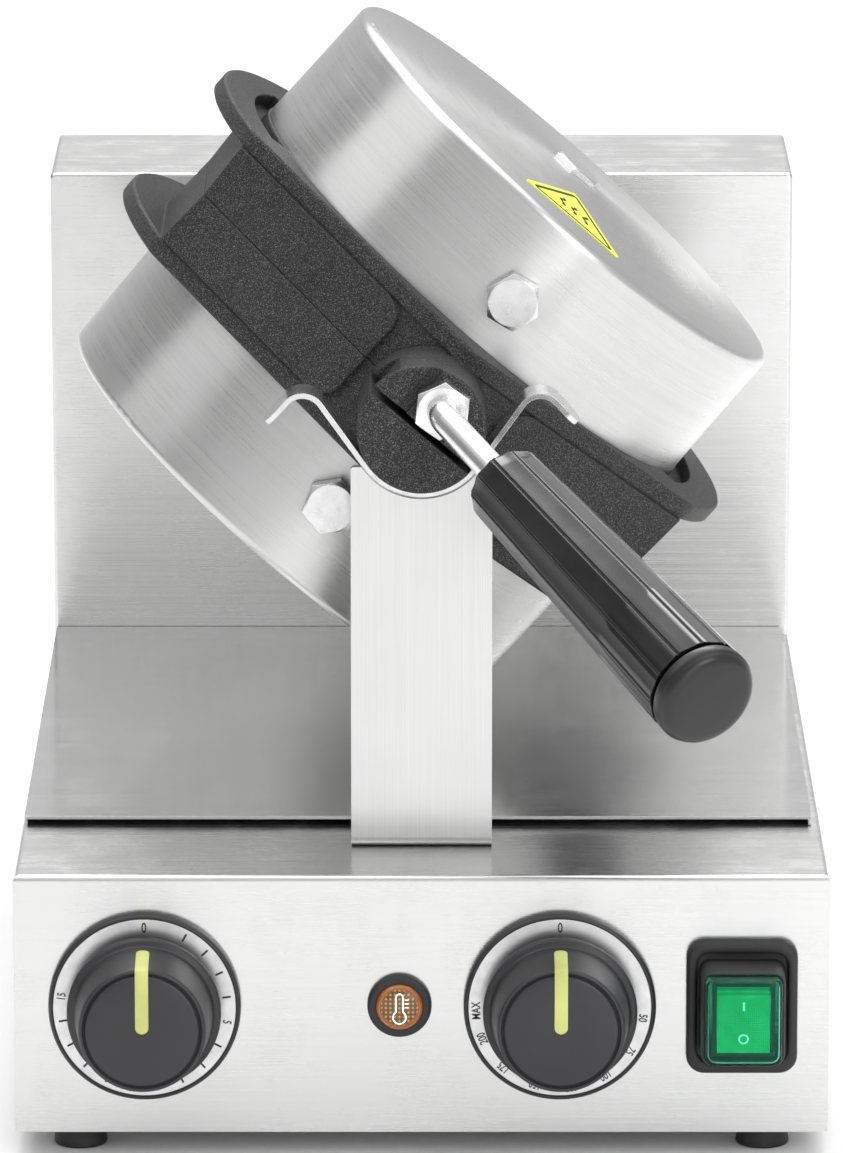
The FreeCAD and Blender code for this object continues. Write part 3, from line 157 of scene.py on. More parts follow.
class Look(Nodes):
    """A material on the principled shader. Its patterns lie in the object's own axes."""

    def __init__(self, name, **values):
        self.material = bpy.data.materials.new(name)
        self.material.use_nodes = True
        super().__init__(self.material.node_tree)
        self.shader = self.tree.nodes["Principled BSDF"]
        self.where = self.node("ShaderNodeTexCoord").outputs["Object"]
        for socket, value in values.items():
            self.set(socket.replace("_", " ").title().replace("Ior", "IOR"), value)

    def set(self, name, value):
        """Sets or links one of the shader's own sockets."""
        self.feed(self.shader.inputs[name], value)

    def stretch(self, factors):
        """Position, multiplied by a factor on each axis."""
        return self.vector("MULTIPLY", self.where, factors)

    def noise(self, scale, vector=None, detail=2.0, rough=0.5):
        """Soft noise from 0 to 1, with about scale cells in a metre."""
        made = self.node("ShaderNodeTexNoise")
        self.feed(made.inputs["Vector"], vector or self.where)
        self.feed(made.inputs["Scale"], scale)
        self.feed(made.inputs["Detail"], detail)
        self.feed(made.inputs["Roughness"], rough)
        return made.outputs[0]

    def cells(self, scale):
        """Distance to the nearest of many scattered points."""
        made = self.node("ShaderNodeTexVoronoi")
        self.feed(made.inputs["Vector"], self.where)
        self.feed(made.inputs["Scale"], scale)
        return made.outputs["Distance"]

    def mix(self, share, a, b):
        """Mixes two colours."""
        made = self.node("ShaderNodeMix", data_type="RGBA")
        self.feed(made.inputs[0], share)
        self.feed(made.inputs[6], a)
        self.feed(made.inputs[7], b)
        return made.outputs[2]

    def mix_vectors(self, share, a, b):
        """Mixes two vectors."""
        made = self.node("ShaderNodeMix", data_type="VECTOR")
        self.feed(made.inputs[0], share)
        self.feed(made.inputs[4], a)
        self.feed(made.inputs[5], b)
        return made.outputs[1]

    def bump(self, height, depth, normal=None):
        """Height in units of depth metres; the result is a normal."""
        made = self.node("ShaderNodeBump")
        self.feed(made.inputs["Height"], height)
        self.feed(made.inputs["Distance"], depth)
        if normal is not None:
            self.feed(made.inputs["Normal"], normal)
        return made.outputs[0]

    def soft_edges(self, radius):
        """A normal rounded over edges, and how near an edge is, from 0 to 1."""
        bevel = self.node("ShaderNodeBevel", samples=4)
        self.feed(bevel.inputs["Radius"], radius)
        geometry = self.node("ShaderNodeNewGeometry")
        closeness = self.vector("DOT_PRODUCT", bevel.outputs[0], geometry.outputs["Normal"], out="Value")
        return bevel.outputs[0], self.span(closeness, 0.995, 0.8)

    def face_normal(self):
        """The surface's normal in the object's axes."""
        return self.node("ShaderNodeTexCoord").outputs["Normal"]

    def flow(self, grain):
        """Stretches highlights across the grain, whose direction is given in the object's axes."""
        normal = self.face_normal()
        across = self.node("ShaderNodeVectorTransform", vector_type="VECTOR",
                           convert_from="OBJECT", convert_to="WORLD")
        self.feed(across.inputs[0], self.vector("CROSS_PRODUCT", grain, normal))
        self.set("Tangent", across.outputs[0])

    def dots(self, place, pitch):
        """A square grid of round dots, from 0 between them to 1 at their middles."""
        waves = []
        for value in self.split(place)[:2]:
            turn = self.math("MULTIPLY", value, TAU / pitch)
            waves.append(self.math("MULTIPLY_ADD", self.math("COSINE", turn), 0.5, 0.5))
        return self.math("MULTIPLY", *waves)

    def panel_axes(self, node):
        """Position across and up the panel, from a node's middle."""
        x, _, z = self.split(self.vector("SUBTRACT", self.where, tuple(middle(node))))
        return self.join(x, z, 0.0)

    def from_drum(self):
        """Position from the drum's centre, in the object's axes."""
        return self.vector("SUBTRACT", self.where, tuple(DRUM_CENTRE))

    def drum_axes(self):
        """Position in the drum's own axes, from its centre."""
        turn = self.node("ShaderNodeVectorRotate", rotation_type="Y_AXIS")
        self.feed(turn.inputs["Vector"], self.from_drum())
        self.feed(turn.inputs["Angle"], -TILT)
        return turn.outputs[0]


# ---------------------------------------------------------------- camera, light and floor

# Metres back from the panel's face and up from the base's top.
CAMERA_BACK = 2.841
CAMERA_UP = 0.7617
CAMERA_PITCH = math.radians(13.08)
CAMERA_LENS = 277.9
CAMERA_SENSOR = 36
FAR_AWAY = 50
FLOOR_REACH = 15.0

# Each softbox has its place, the point that it faces, its two sides and its watts.
SOFTBOXES = {
    "top": ((0.1, 0.1, 2.6), (0.1, 0.0, 0.0), (3.8, 3.2), 46),
    "back": ((0, 2.9, 2.6), (0, 2.8, 0.0), (4.4, 2.6), 36),
    "over_grip": ((0.05, 1.0, 1.6), (0.05, -0.15, 0.2), (0.9, 0.6), 10),
    "right": ((0.8, -1.2, 0.8), (0.2, -0.5, 0.0), (0.6, 0.6), 5),
    "front_right": ((0.5, -1.6, 0.3), (0.1, -0.15, 0.1), (0.5, 0.6), 1.7),
    "left": ((-1.6, -0.4, 2.0), (0, 0, 0.2), (1.5, 1.5), 7),
}


def make_camera():
    """A long lens in front, looking a little down at the machine."""
    data = bpy.data.cameras.new("camera")
    data.lens = CAMERA_LENS
    data.sensor_width = CAMERA_SENSOR
    data.clip_end = FAR_AWAY
    camera = bpy.data.objects.new("camera", data)
    camera.location = (0, PANEL_Y - CAMERA_BACK, BASE_TOP + CAMERA_UP)
    camera.rotation_euler = (math.pi / 2 - CAMERA_PITCH, 0, 0)
    bpy.context.scene.collection.objects.link(camera)
    bpy.context.scene.camera = camera


def make_world():
    """Soft grey surroundings, dimmer on the far left and a little dimmer behind."""
    world = bpy.data.worlds.new("studio")
    world.use_nodes = True
    bpy.context.scene.world = world
    nodes = Nodes(world.node_tree)
    x, y, _ = nodes.split(nodes.node("ShaderNodeTexCoord").outputs["Generated"])
    from_left = nodes.span(x, -0.9, -0.45, 0.42, 1.0)
    to_back = nodes.span(y, -0.1, 0.8, 0.74, 0.62)
    background = nodes.tree.nodes["Background"]
    nodes.feed(background.inputs["Color"], (1, 1, 1))
    nodes.feed(background.inputs["Strength"], nodes.math("MULTIPLY", from_left, to_back))


def make_floor():
    """A wide pale floor."""
    mesh = bpy.data.meshes.new("floor")
    corners = [(sx * FLOOR_REACH, sy * FLOOR_REACH, 0) for sx, sy in ((-1, -1), (1, -1), (1, 1), (-1, 1))]
    mesh.from_pydata(corners, [], [(0, 1, 2, 3)])
    floor = bpy.data.objects.new("floor", mesh)
    bpy.context.scene.collection.objects.link(floor)
    paint = Look("floor_paint", base_color=(0.92, 0.92, 0.92), roughness=0.9)
    floor.data.materials.append(paint.material)


def make_softboxes():
    """Large soft lights that the camera doesn't see."""
    for name, (place, target, sides, watts) in SOFTBOXES.items():
        data = bpy.data.lights.new(name, "AREA")
        data.shape = "RECTANGLE"
        data.size, data.size_y = sides
        data.energy = watts
        light = bpy.data.objects.new(name, data)
        light.location = place
        light.visible_camera = False
        light.rotation_euler = (Vector(target) - Vector(place)).to_track_quat("-Z", "Y").to_euler()
        bpy.context.scene.collection.objects.link(light)


# ---------------------------------------------------------------- materials

# Pattern cells per metre along brushed lines and across them, on flat sheet and on the round covers.
ALONG_SHEET, ACROSS_SHEET = 8, 2400
ALONG_COVER, ACROSS_COVER = 9, 2200


def grey(tone):
    """A neutral colour."""
    return (tone, tone, tone)


def brushed(name, grain, tone, rough, depth, anisotropy=0.6, streaky=0.35):
    """Brushed stainless steel. grain gives the stretched position and the grain's direction."""
    look = Look(name, metallic=1.0, anisotropic=anisotropy)
    stretched, direction = grain(look)
    look.flow(direction)
    lines = look.noise(1.0, stretched, detail=4, rough=0.65)
    streaks = look.noise(0.12, stretched, detail=3)
    patches = look.noise(14.0, detail=3)
    smudge = look.noise(45.0, detail=4, rough=0.6)
    base = look.mix(look.span(lines, 0.3, 0.7), grey(tone * 0.92), (tone * 1.06, tone * 1.06, tone * 1.05))
    base = look.mix(look.span(streaks, 0.4, 0.7, 0.0, streaky), base, grey(tone * 1.1))
    look.set("Base Color", look.mix(look.span(patches, 0.35, 0.65, 0.0, 0.12), base, grey(tone * 0.85)))
    shine = look.span(lines, 0.25, 0.75, rough - 0.06, rough + 0.07)
    look.set("Roughness", look.math("MULTIPLY_ADD", look.span(smudge, 0.45, 0.7), 0.05, shine))
    look.set("Normal", look.bump(lines, depth, look.soft_edges(0.3 * MM)[0]))
    return look.material


def along_x(look):
    """Grain along X, and along Y on faces that look sideways."""
    facing = look.split(look.face_normal())[0]
    sideways = look.math("GREATER_THAN", look.math("ABSOLUTE", facing), 0.7)
    stretched = look.mix_vectors(sideways, look.stretch((ALONG_SHEET, ACROSS_SHEET, ACROSS_SHEET)),
                                 look.stretch((ACROSS_SHEET, ALONG_SHEET, ACROSS_SHEET)))
    # The small lean keeps the grain from lying exactly along a face's normal.
    return stretched, look.join(look.math("SUBTRACT", 1.0, sideways), sideways, 0.03)


def along_z(look):
    """Grain upwards, with the same small lean."""
    return look.stretch((ACROSS_SHEET, ACROSS_SHEET, ALONG_SHEET)), (0.02, 0.03, 1)


def around_drum(look):
    """Grain round the drum's own axis, on the walls and on the faces."""
    x, y, z = look.split(look.drum_axes())
    squares = look.math("ADD", look.math("MULTIPLY", x, x), look.math("MULTIPLY", y, y))
    across = look.math("MULTIPLY", look.math("ADD", look.math("SQRT", squares), z), ACROSS_COVER)
    along = [look.math("MULTIPLY", value, ALONG_COVER) for value in (x, y)]
    axis = (math.sin(TILT), 0, math.cos(TILT))
    return look.join(*along, across), look.vector("CROSS_PRODUCT", axis, look.from_drum())


def cast_iron(name):
    """Black sand-cast iron with a fine grain, light worn specks and a painted highlight along its edges."""
    look = Look(name, specular_ior_level=0.35)
    grain = look.noise(1300, detail=3, rough=0.6)
    pits = look.cells(900)
    wide = look.noise(60, detail=3)
    normal, edge = look.soft_edges(1.2 * MM)
    specks = look.span(look.noise(3000, detail=2, rough=0.7), 0.54, 0.7)
    base = look.mix(look.span(wide, 0.3, 0.7), (0.006, 0.006, 0.007), (0.014, 0.014, 0.015))
    # Painted highlight: the base colour turns lighter grey near every edge.
    base = look.mix(look.math("MULTIPLY", edge, 0.4), base, (0.06, 0.06, 0.062))
    look.set("Base Color", look.mix(specks, base, grey(0.22)))
    look.set("Roughness", look.span(grain, 0.3, 0.7, 0.45, 0.65))
    height = look.math("ADD", look.math("MULTIPLY", grain, 0.7), look.math("MULTIPLY", pits, 0.6))
    look.set("Normal", look.bump(height, 0.3 * MM, normal))
    return look.material


def moulded(name, colour, rough, grain_depth, worn=0.15, grain_scale=1500):
    """Moulded plastic, rubber or wool with a fine grain, dust and soft edges."""
    look = Look(name)
    grain = look.noise(grain_scale, detail=2)
    wide = look.noise(40, detail=3)
    normal, edge = look.soft_edges(0.5 * MM)
    dusty = tuple(c * 1.6 + 0.004 for c in colour)
    pale = tuple(c + 0.1 for c in colour)
    base = look.mix(look.span(wide, 0.35, 0.7, 0.0, 0.5), colour, dusty)
    look.set("Base Color", look.mix(look.math("MULTIPLY", edge, worn), base, pale))
    look.set("Roughness", look.span(wide, 0.3, 0.7, rough - 0.04, rough + 0.06))
    look.set("Normal", look.bump(grain, grain_depth, normal))
    return look.material


def plated(name, tone, rough):
    """Bright plated metal with faint haze and scratches."""
    look = Look(name, metallic=1.0)
    haze = look.noise(220, detail=4, rough=0.6)
    fine = look.noise(2600, detail=2)
    look.set("Base Color", look.mix(look.span(haze, 0.35, 0.7), grey(tone), grey(tone * 0.88)))
    look.set("Roughness", look.span(haze, 0.3, 0.7, rough - 0.03, rough + 0.05))
    look.set("Normal", look.bump(fine, 0.003 * MM, look.soft_edges(0.35 * MM)[0]))
    return look.material


def lens_green(name):
    """Green switch lens with a fine grid of prisms, lit from inside."""
    look = Look(name, roughness=0.25, emission_strength=0.75)
    dots = look.dots(look.panel_axes("switch_rocker"), 0.62 * MM)
    shade = look.noise(120, detail=2)
    base = look.mix(dots, (0.0, 0.3, 0.09), (0.02, 0.6, 0.24))
    look.set("Base Color", look.mix(look.span(shade, 0.35, 0.7, 0.0, 0.3), base, (0.0, 0.22, 0.08)))
    look.set("Emission Color", look.mix(dots, (0.0, 0.26, 0.09), (0.01, 0.62, 0.27)))
    look.set("Normal", look.bump(dots, 0.12 * MM, look.soft_edges(0.3 * MM)[0]))
    return look.material


def lens_amber(name):
    """Amber lamp lens: a clear orange rim round a darker dotted middle."""
    look = Look(name, roughness=0.12, coat_weight=0.6, coat_roughness=0.05)
    place = look.panel_axes("lamp_lens")
    dots = look.dots(place, 1.5 * MM)
    rim = look.span(look.vector("LENGTH", place, out="Value"), 5.7 * MM, 6.5 * MM)
    inner = look.mix(look.span(dots, 0.2, 0.8), (0.13, 0.055, 0.01), (0.6, 0.32, 0.05))
    look.set("Base Color", look.mix(rim, inner, (0.36, 0.11, 0.012)))
    look.set("Normal", look.bump(dots, 0.15 * MM))
    return look.material


def clear_boot(name):
    """Clear green-tinted flexible boot."""
    look = Look(name, transmission_weight=0.97, ior=1.13)
    haze = look.noise(300, detail=3)
    look.set("Base Color", look.mix(look.span(haze, 0.35, 0.7), (0.3, 0.85, 0.66), (0.2, 0.74, 0.52)))
    look.set("Roughness", look.span(haze, 0.3, 0.7, 0.02, 0.1))
    look.set("Normal", look.bump(look.noise(500, detail=2), 0.02 * MM, look.soft_edges(0.3 * MM)[0]))
    return look.material


def ink(name, colour, painted_glow=0.0):
    """Screen-printed ink with a slightly uneven film, and optionally a painted glow that makes it shine like a
    lamp.
    """
    look = Look(name, specular_ior_level=0.3, emission_color=colour, emission_strength=painted_glow)
    film = look.noise(1800, detail=2)
    look.set("Base Color", look.mix(film, colour, tuple(c * 1.5 + 0.01 for c in colour)))
    look.set("Roughness", look.span(film, 0.3, 0.7, 0.4, 0.6))
    return look.material


LOOKS = {
    "stainless": brushed("stainless_sheet", along_x, tone=0.69, rough=0.23, depth=0.003 * MM, streaky=0.12),
    "bracket": brushed("bracket_sheet", along_z, tone=0.65, rough=0.34, depth=0.0015 * MM, streaky=0.06),
    "cover": brushed("cover_sheet", around_drum, tone=0.6, rough=0.29, depth=0.003 * MM, anisotropy=0.7),
    "tray_steel": brushed("tray_sheet", along_x, tone=0.7, rough=0.16, depth=0.001 * MM),
    "cradle": plated("cradle_strip", 0.7, 0.24),
    "cast_iron": cast_iron("cast_iron"),
    "bright_steel": plated("bright_steel", 0.85, 0.22),
    "fastener_steel": plated("fastener_steel", 0.72, 0.24),
    "black_bakelite": moulded("black_bakelite", (0.005, 0.005, 0.006), 0.14, 0.002 * MM, worn=0.06),
    "black_plastic": moulded("black_plastic", (0.016, 0.016, 0.018), 0.36, 0.012 * MM),
    "dial_plate": plated("dial_plate", 0.72, 0.33),
    "pointer_yellow": moulded("pointer_yellow", (0.5, 0.53, 0.17), 0.4, 0.006 * MM, worn=0.02),
    "black_rubber": moulded("black_rubber", (0.014, 0.014, 0.015), 0.55, 0.02 * MM, worn=0.08),
    "lamp_amber": lens_amber("lamp_amber"),
    "clear_green": clear_boot("clear_green"),
    "switch_green": lens_green("switch_green"),
    "label_yellow": moulded("label_yellow", (0.75, 0.8, 0.05), 0.35, 0.002 * MM, worn=0.02),
    "mineral_wool": moulded("mineral_wool", (0.5, 0.45, 0.3), 0.9, 0.3 * MM, grain_scale=700),
    "heater_sheath": plated("heater_sheath", 0.25, 0.4),
    "bronze": plated("bronze", 0.5, 0.3),
    "grey_plastic": moulded("grey_plastic", grey(0.4), 0.45, 0.01 * MM),
    "knob": moulded("knob_plastic", (0.018, 0.018, 0.02), 0.4, 0.014 * MM, worn=0.1),
    "cap": moulded("cap_plastic", (0.007, 0.007, 0.008), 0.34, 0.008 * MM, worn=0.1),
    "dark_ink": ink("dark_ink", grey(0.02)),
    # The white ink gets a painted glow, so its prints look lit though they are no lamp.
    "white_ink": ink("white_ink", (0.8, 0.82, 0.8), painted_glow=0.5),
}
# Nodes whose look isn't their slot's.
NODE_LOOKS = {
    "front_bracket": "bracket",
    "upper_cover": "cover",
    "lower_cover": "cover",
    "hub_cradle": "cradle",
    "switch_body": "black_plastic",
}


def dress_frame():
    """Gives every CAD node its material."""
    for name, node in frame["nodes"].items():
        look = LOOKS[NODE_LOOKS.get(name, SLOT_OF[name])]
        node.data.materials.clear()
        node.data.materials.append(look)


# ---------------------------------------------------------------- shapes, as lists of points and faces

# Points nearer than this become one.
WELD = 0.002 * MM


def piece(name, body, look, shape, stands_for=(), place=None, sharp=40):
    """Makes an object from a shape in millimetres, moved by a matrix, and rides it on a body."""
    points, faces = shape
    place = place or Matrix.Identity(4)
    mesh = bpy.data.meshes.new(name)
    mesh.from_pydata([place @ (Vector(p) * MM) for p in points], [], faces)
    work = bmesh.new()
    work.from_mesh(mesh)
    bmesh.ops.remove_doubles(work, verts=work.verts, dist=WELD)
    bmesh.ops.recalc_face_normals(work, faces=work.faces)
    work.to_mesh(mesh)
    work.free()
    mesh.shade_smooth()
    mesh.set_sharp_from_angle(angle=math.radians(sharp))
    mesh.materials.append(LOOKS[look])
    made = bpy.data.objects.new(name, mesh)
    bpy.context.scene.collection.objects.link(made)
    if stands_for:
        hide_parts(*stands_for)
    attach(made, body)


def gather(shapes):
    """Several shapes as one."""
    points, faces = [], []
    for more_points, more_faces in shapes:
        faces += [tuple(i + len(points) for i in face) for face in more_faces]
        points += list(more_points)
    return points, faces


def circle(radius, height, steps, start=0.0):
    """Points on a level circle."""
    angles = [start + TAU * i / steps for i in range(steps)]
    return [(radius * math.cos(a), radius * math.sin(a), height) for a in angles]


def rings(levels, capped=True):
    """A skin over closed rings with equal numbers of points."""
    count = len(levels[0])
    points = [p for level in levels for p in level]
    faces = []
    for row in range(len(levels) - 1):
        for i in range(count):
            j = (i + 1) % count
            below, above = row * count, (row + 1) * count
            faces.append((below + i, below + j, above + j, above + i))
    if capped:
        faces.append(tuple(range(count)))
        faces.append(tuple(range(len(points) - count, len(points))))
    return points, faces


def lathe(profile, steps=128):
    """A turned shape from (radius, height) pairs."""
    return rings([circle(radius, height, steps) for radius, height in profile])


def rounded_outline(half_x, half_y, corner, height, steps=8):
    """Points round a rectangle with rounded corners."""
    points = []
    for index, (sx, sy) in enumerate(((1, 1), (-1, 1), (-1, -1), (1, -1))):
        for i in range(steps + 1):
            a = (index + i / steps) * math.pi / 2
            x = sx * (half_x - corner) + corner * math.cos(a)
            y = sy * (half_y - corner) + corner * math.sin(a)
            points.append((x, y, height))
    return points


def arc(x, y, radius, start, end, steps=12):
    """Points on an arc, in degrees from +x."""
    angles = [math.radians(start + (end - start) * i / steps) for i in range(steps + 1)]
    return [(x + radius * math.cos(a), y + radius * math.sin(a)) for a in angles]


def dense(path, spacing):
    """A path of (x, y) points with more points on its straight runs, about this far apart."""
    points = [path[0]]
    for (ax, ay), (bx, by) in zip(path, path[1:]):
        steps = max(1, round(math.dist((ax, ay), (bx, by)) / spacing))
        points += [(ax + (bx - ax) * i / steps, ay + (by - ay) * i / steps) for i in range(1, steps + 1)]
    return points


def ribbon(path, width, height=0, closed=False):
    """A flat printed line along a path of (x, y) points."""
    count = len(path)
    points, faces = [], []
    for i, (x, y) in enumerate(path):
        before = path[(i - 1) % count] if closed or i else path[0]
        after = path[(i + 1) % count] if closed or i < count - 1 else path[-1]
        along = Vector((after[0] - before[0], after[1] - before[1])).normalized()
        side = Vector((-along.y, along.x)) * width / 2
        points += [(x + side.x, y + side.y, height), (x - side.x, y - side.y, height)]
    for i in range(count if closed else count - 1):
        j = (i + 1) % count
        faces.append((2 * i, 2 * i + 1, 2 * j + 1, 2 * j))
    return points, faces


def lettering(text, height, narrow):
    """A printed word or number, centred, with this height in millimetres and its width narrowed."""
    curve = bpy.data.curves.new("lettering", "FONT")
    curve.body = text
    curve.offset = 0.02
    letters = bpy.data.objects.new("lettering", curve)
    mesh = bpy.data.meshes.new_from_object(letters)
    points = [Vector(v.co) for v in mesh.vertices]
    low = Vector((min(p.x for p in points), min(p.y for p in points), 0))
    high = Vector((max(p.x for p in points), max(p.y for p in points), 0))
    size = height / (high.y - low.y)
    shift = (low + high) / 2
    placed = [((p.x - shift.x) * size * narrow, (p.y - shift.y) * size, 0) for p in points]
    faces = [tuple(face.vertices) for face in mesh.polygons]
    bpy.data.objects.remove(letters)
    return placed, faces


def node_skin(node):
    """A CAD node's vertices and faces, in metres."""
    mesh = frame["nodes"][node].data
    return [tuple(v.co) for v in mesh.vertices], [tuple(p.vertices) for p in mesh.polygons]


def lay(shape, node, axes, proud):
    """A flat shape dropped along -z of these axes onto a node's surface, where it stands a little proud."""
    tree = BVHTree.FromPolygons(*node_skin(node))
    down = axes.to_3x3() @ Vector((0, 0, -1))
    start = 120
    points, faces = shape
    laid = []
    for x, y, _ in points:
        hit = tree.ray_cast(axes @ (Vector((x, y, start)) * MM), down)[0]
        laid.append(tuple((hit - down * proud * MM) / MM))
    return laid, faces


# ---------------------------------------------------------------- dials

# Angles on the dials are clockwise from the top, in degrees. A step is from one mark to the next.
TIMER_START, TIMER_STEP = 11.3, 17.8
THERMOSTAT_START, THERMOSTAT_STEP, THERMOSTAT_MAX = 97.5, 25.0, 268
MINUTES = range(1, 16)
TEMPERATURES = range(50, 201, 25)

TICK_RADIUS, TICK_HALF, TICK_WIDTH = 27.4, 1.4, 0.7
NUMBER_RADIUS, NUMBER_HEIGHT = 27.8, 2.9
ZERO_HEIGHT = 3.5

KNOB_PROFILE = [
    # the bore and the underside
    (3, 24), (3, 4.7), (9, 4.7), (9, 8.2),
    # the skirt
    (24.9, 8.2), (25.4, 8.6), (25.5, 9.2), (25.5, 11.1),
    (25.2, 11.7), (24.6, 12.0), (23.7, 12.2), (23.2, 12.6),
    # the tapered side and its shoulder
    (23.05, 13.2), (21.05, 31.0), (20.85, 31.8), (20.4, 32.3), (19.95, 32.4),
    # the groove
    (19.7, 32.2), (19.5, 31.6), (19.2, 31.4), (18.9, 31.6), (18.7, 32.3),
    # the face
    (18.4, 32.65), (17.8, 32.85), (9.0, 32.95), (0.01, 33.0),
]
# The bar's middle line, as radius and height.
BAR_PATH = [(22.75, 15.7), (21.05, 30.9), (20.75, 32.0), (20.0, 32.75), (18.8, 32.95), (9.0, 32.98),
            (-0.8, 33.0)]
# The bar's section: share of the half width across, and height above the knob.
BAR_SECTION = [(-1, -0.4), (-1, 0.12), (-0.86, 0.28), (0, 0.34), (0.86, 0.28), (1, 0.12), (1, -0.4)]


def make_bezel(name):
    """Moulded bezel with a round nose and a fine lip round the plate."""
    node = f"{name}_dial"
    front = stand_out(node)
    edge = half_size(node)[0]
    plate = half_size(f"{name}_scale")[0]
    bore, seat = 5.6, 2.9
    profile = [(bore, seat), (bore, 0), (edge, 0), (edge, front - 1.5), (edge - 0.15, front - 0.9),
               (edge - 0.5, front - 0.3), (edge - 0.95, front), (plate + 0.25, front), (plate, front - 0.2),
               (plate, seat), (bore, seat)]
    piece(f"{name}_bezel", "base", "black_plastic", lathe(profile),
          stands_for=(node,), place=control(node), sharp=50)


def make_knob(name):
    """Turned knob with a skirt, a tapered body and a groove round its face."""
    piece(f"{name}_knob_body", f"{name}_knob_body", "knob", lathe(KNOB_PROFILE),
          stands_for=(f"{name}_knob",), place=control(f"{name}_dial"), sharp=60)


def make_bar(name):
    """Coloured bar with round ends, up the knob's side, over its shoulder and to the face's middle."""
    half_width = half_size(f"{name}_pointer")[0]
    path = [Vector(p) for p in dense(BAR_PATH, 0.5)]
    reach = [0.0]
    for a, b in zip(path, path[1:]):
        reach.append(reach[-1] + (b - a).length)
    levels = []
    for i, (point, travelled) in enumerate(zip(path, reach)):
        along = (path[min(i + 1, len(path) - 1)] - path[max(i - 1, 0)]).normalized()
        out = Vector((along.y, -along.x))
        from_end = min(travelled, reach[-1] - travelled)
        fullness = math.sqrt(1 - max(0.0, 1 - (from_end + 0.05) / half_width) ** 2)
        level = []
        for across, lift in BAR_SECTION:
            spot = point + out * (lift * min(1.0, 0.4 + fullness))
            level.append((across * half_width * fullness, spot.x, spot.y))
        levels.append(level)
    piece(f"{name}_bar", f"{name}_knob_body", "pointer_yellow", rings(levels),
          stands_for=(f"{name}_pointer",), place=control(f"{name}_dial"), sharp=50)


def round_dial(shape, angle, radius, height):
    """Puts a print on a dial at an angle, with its top outwards."""
    turn = math.radians(angle)
    place = Matrix.Rotation(-turn, 3, "Z")
    centre = Vector((radius * math.sin(turn), radius * math.cos(turn), height))
    points, faces = shape
    return [tuple(place @ Vector(p) + centre) for p in points], faces


def make_scale(name, numbers, ticks):
    """The zero, the numbers and the ticks printed on a dial's plate."""
    top = stand_out(f"{name}_scale") + 0.03
    shapes = [round_dial(lettering("0", ZERO_HEIGHT, 0.72), 0, TICK_RADIUS, top)]
    for text, angle in numbers:
        shapes.append(round_dial(lettering(text, NUMBER_HEIGHT, 0.7), angle, NUMBER_RADIUS, top))
    tick = ribbon([(0, -TICK_HALF), (0, 0), (0, TICK_HALF)], TICK_WIDTH)
    shapes += [round_dial(tick, angle, TICK_RADIUS, top) for angle in ticks]
    piece(f"{name}_print", "base", "dark_ink", gather(shapes),
          place=control(f"{name}_dial"))


def make_dials():
    """The timer and the thermostat, each a bezel, a knob with its bar, and a printed scale."""
    for name in ("timer", "thermostat"):
        make_bezel(name)
        make_knob(name)
        make_bar(name)
    numbers, ticks = [], []
    for minute in MINUTES:
        angle = TIMER_START + TIMER_STEP * minute
        if minute % 5:
            ticks.append(angle)
        else:
            numbers.append((str(minute), angle))
    make_scale("timer", numbers, ticks)
    numbers = [("MAX", THERMOSTAT_MAX)]
    for i, temperature in enumerate(TEMPERATURES):
        numbers.append((str(temperature), THERMOSTAT_START + THERMOSTAT_STEP * i))
    make_scale("thermostat", numbers, [])


# ---------------------------------------------------------------- lamp and switch

LENS_PROFILE = [(7.4, 0), (7.7, 0.3), (7.75, 3.2), (7.5, 4.0), (7.0, 4.4), (6.5, 4.3), (6.3, 4.0),
                (6.0, 4.0), (5.6, 4.2), (3, 4.45), (0.01, 4.55)]
LENS_PRINT = 4.62


def make_lamp():
    """Domed lens and its printed pictogram, a thermometer with three marks."""
    place = control("lamp_lens")
    piece("lamp_dome", "base", "lamp_amber", lathe(LENS_PROFILE, 72),
          stands_for=("lamp_lens",), place=place)
    stem, stem_end, bulb, bulb_middle = 1.15, 3.7, 2.15, -3.2
    join = math.degrees(math.acos(stem / bulb))
    outline = arc(0, bulb_middle, bulb, 180 - join, 360 + join, 28) + arc(0, stem_end, stem, 0, 180, 10)
    shapes = [ribbon(outline, 0.5, LENS_PRINT, closed=True)]
    shapes += [ribbon([(1.8, y), (2.4, y), (3.0, y)], 0.4, LENS_PRINT) for y in (0.2, 1.5, 2.8)]
    piece("lamp_pictogram", "base", "white_ink", gather(shapes), place=place)


def make_surround(place):
    """Stepped rubber frame with a groove and a collar round the boot."""
    half_x, half_y = half_size("switch_frame")
    tip = stand_out("switch_frame")
    # Each step: half width, half height, corner radius and height above the panel.
    outside = [(half_x, half_y, 6.0, 0), (half_x, half_y, 6.0, 3.0), (half_x - 0.4, half_y - 0.4, 5.8, 4.1),
               (half_x - 1.2, half_y - 1.2, 5.4, 4.7), (half_x - 2.4, half_y - 2.8, 5.0, 4.8),
               (half_x - 3.0, half_y - 3.6, 4.6, 4.5)]
    groove = [(15.2, 18.8, 4.2, 3.9), (15.0, 18.4, 4.0, 2.6), (14.2, 16.6, 3.8, 2.5),
              (13.9, 16.1, 3.6, 3.2)]
    collar = [(13.8, 16.0, 3.6, tip - 1.0), (13.5, 15.7, 3.4, tip - 0.2), (13.1, 15.3, 3.1, tip),
              (12.65, 14.85, 2.6, tip - 0.2), (12.62, 14.82, 2.6, 0)]
    levels = [rounded_outline(*step) for step in outside + groove + collar + outside[:1]]
    piece("switch_surround", "base", "black_rubber", rings(levels, capped=False),
          stands_for=("switch_frame",), place=place)


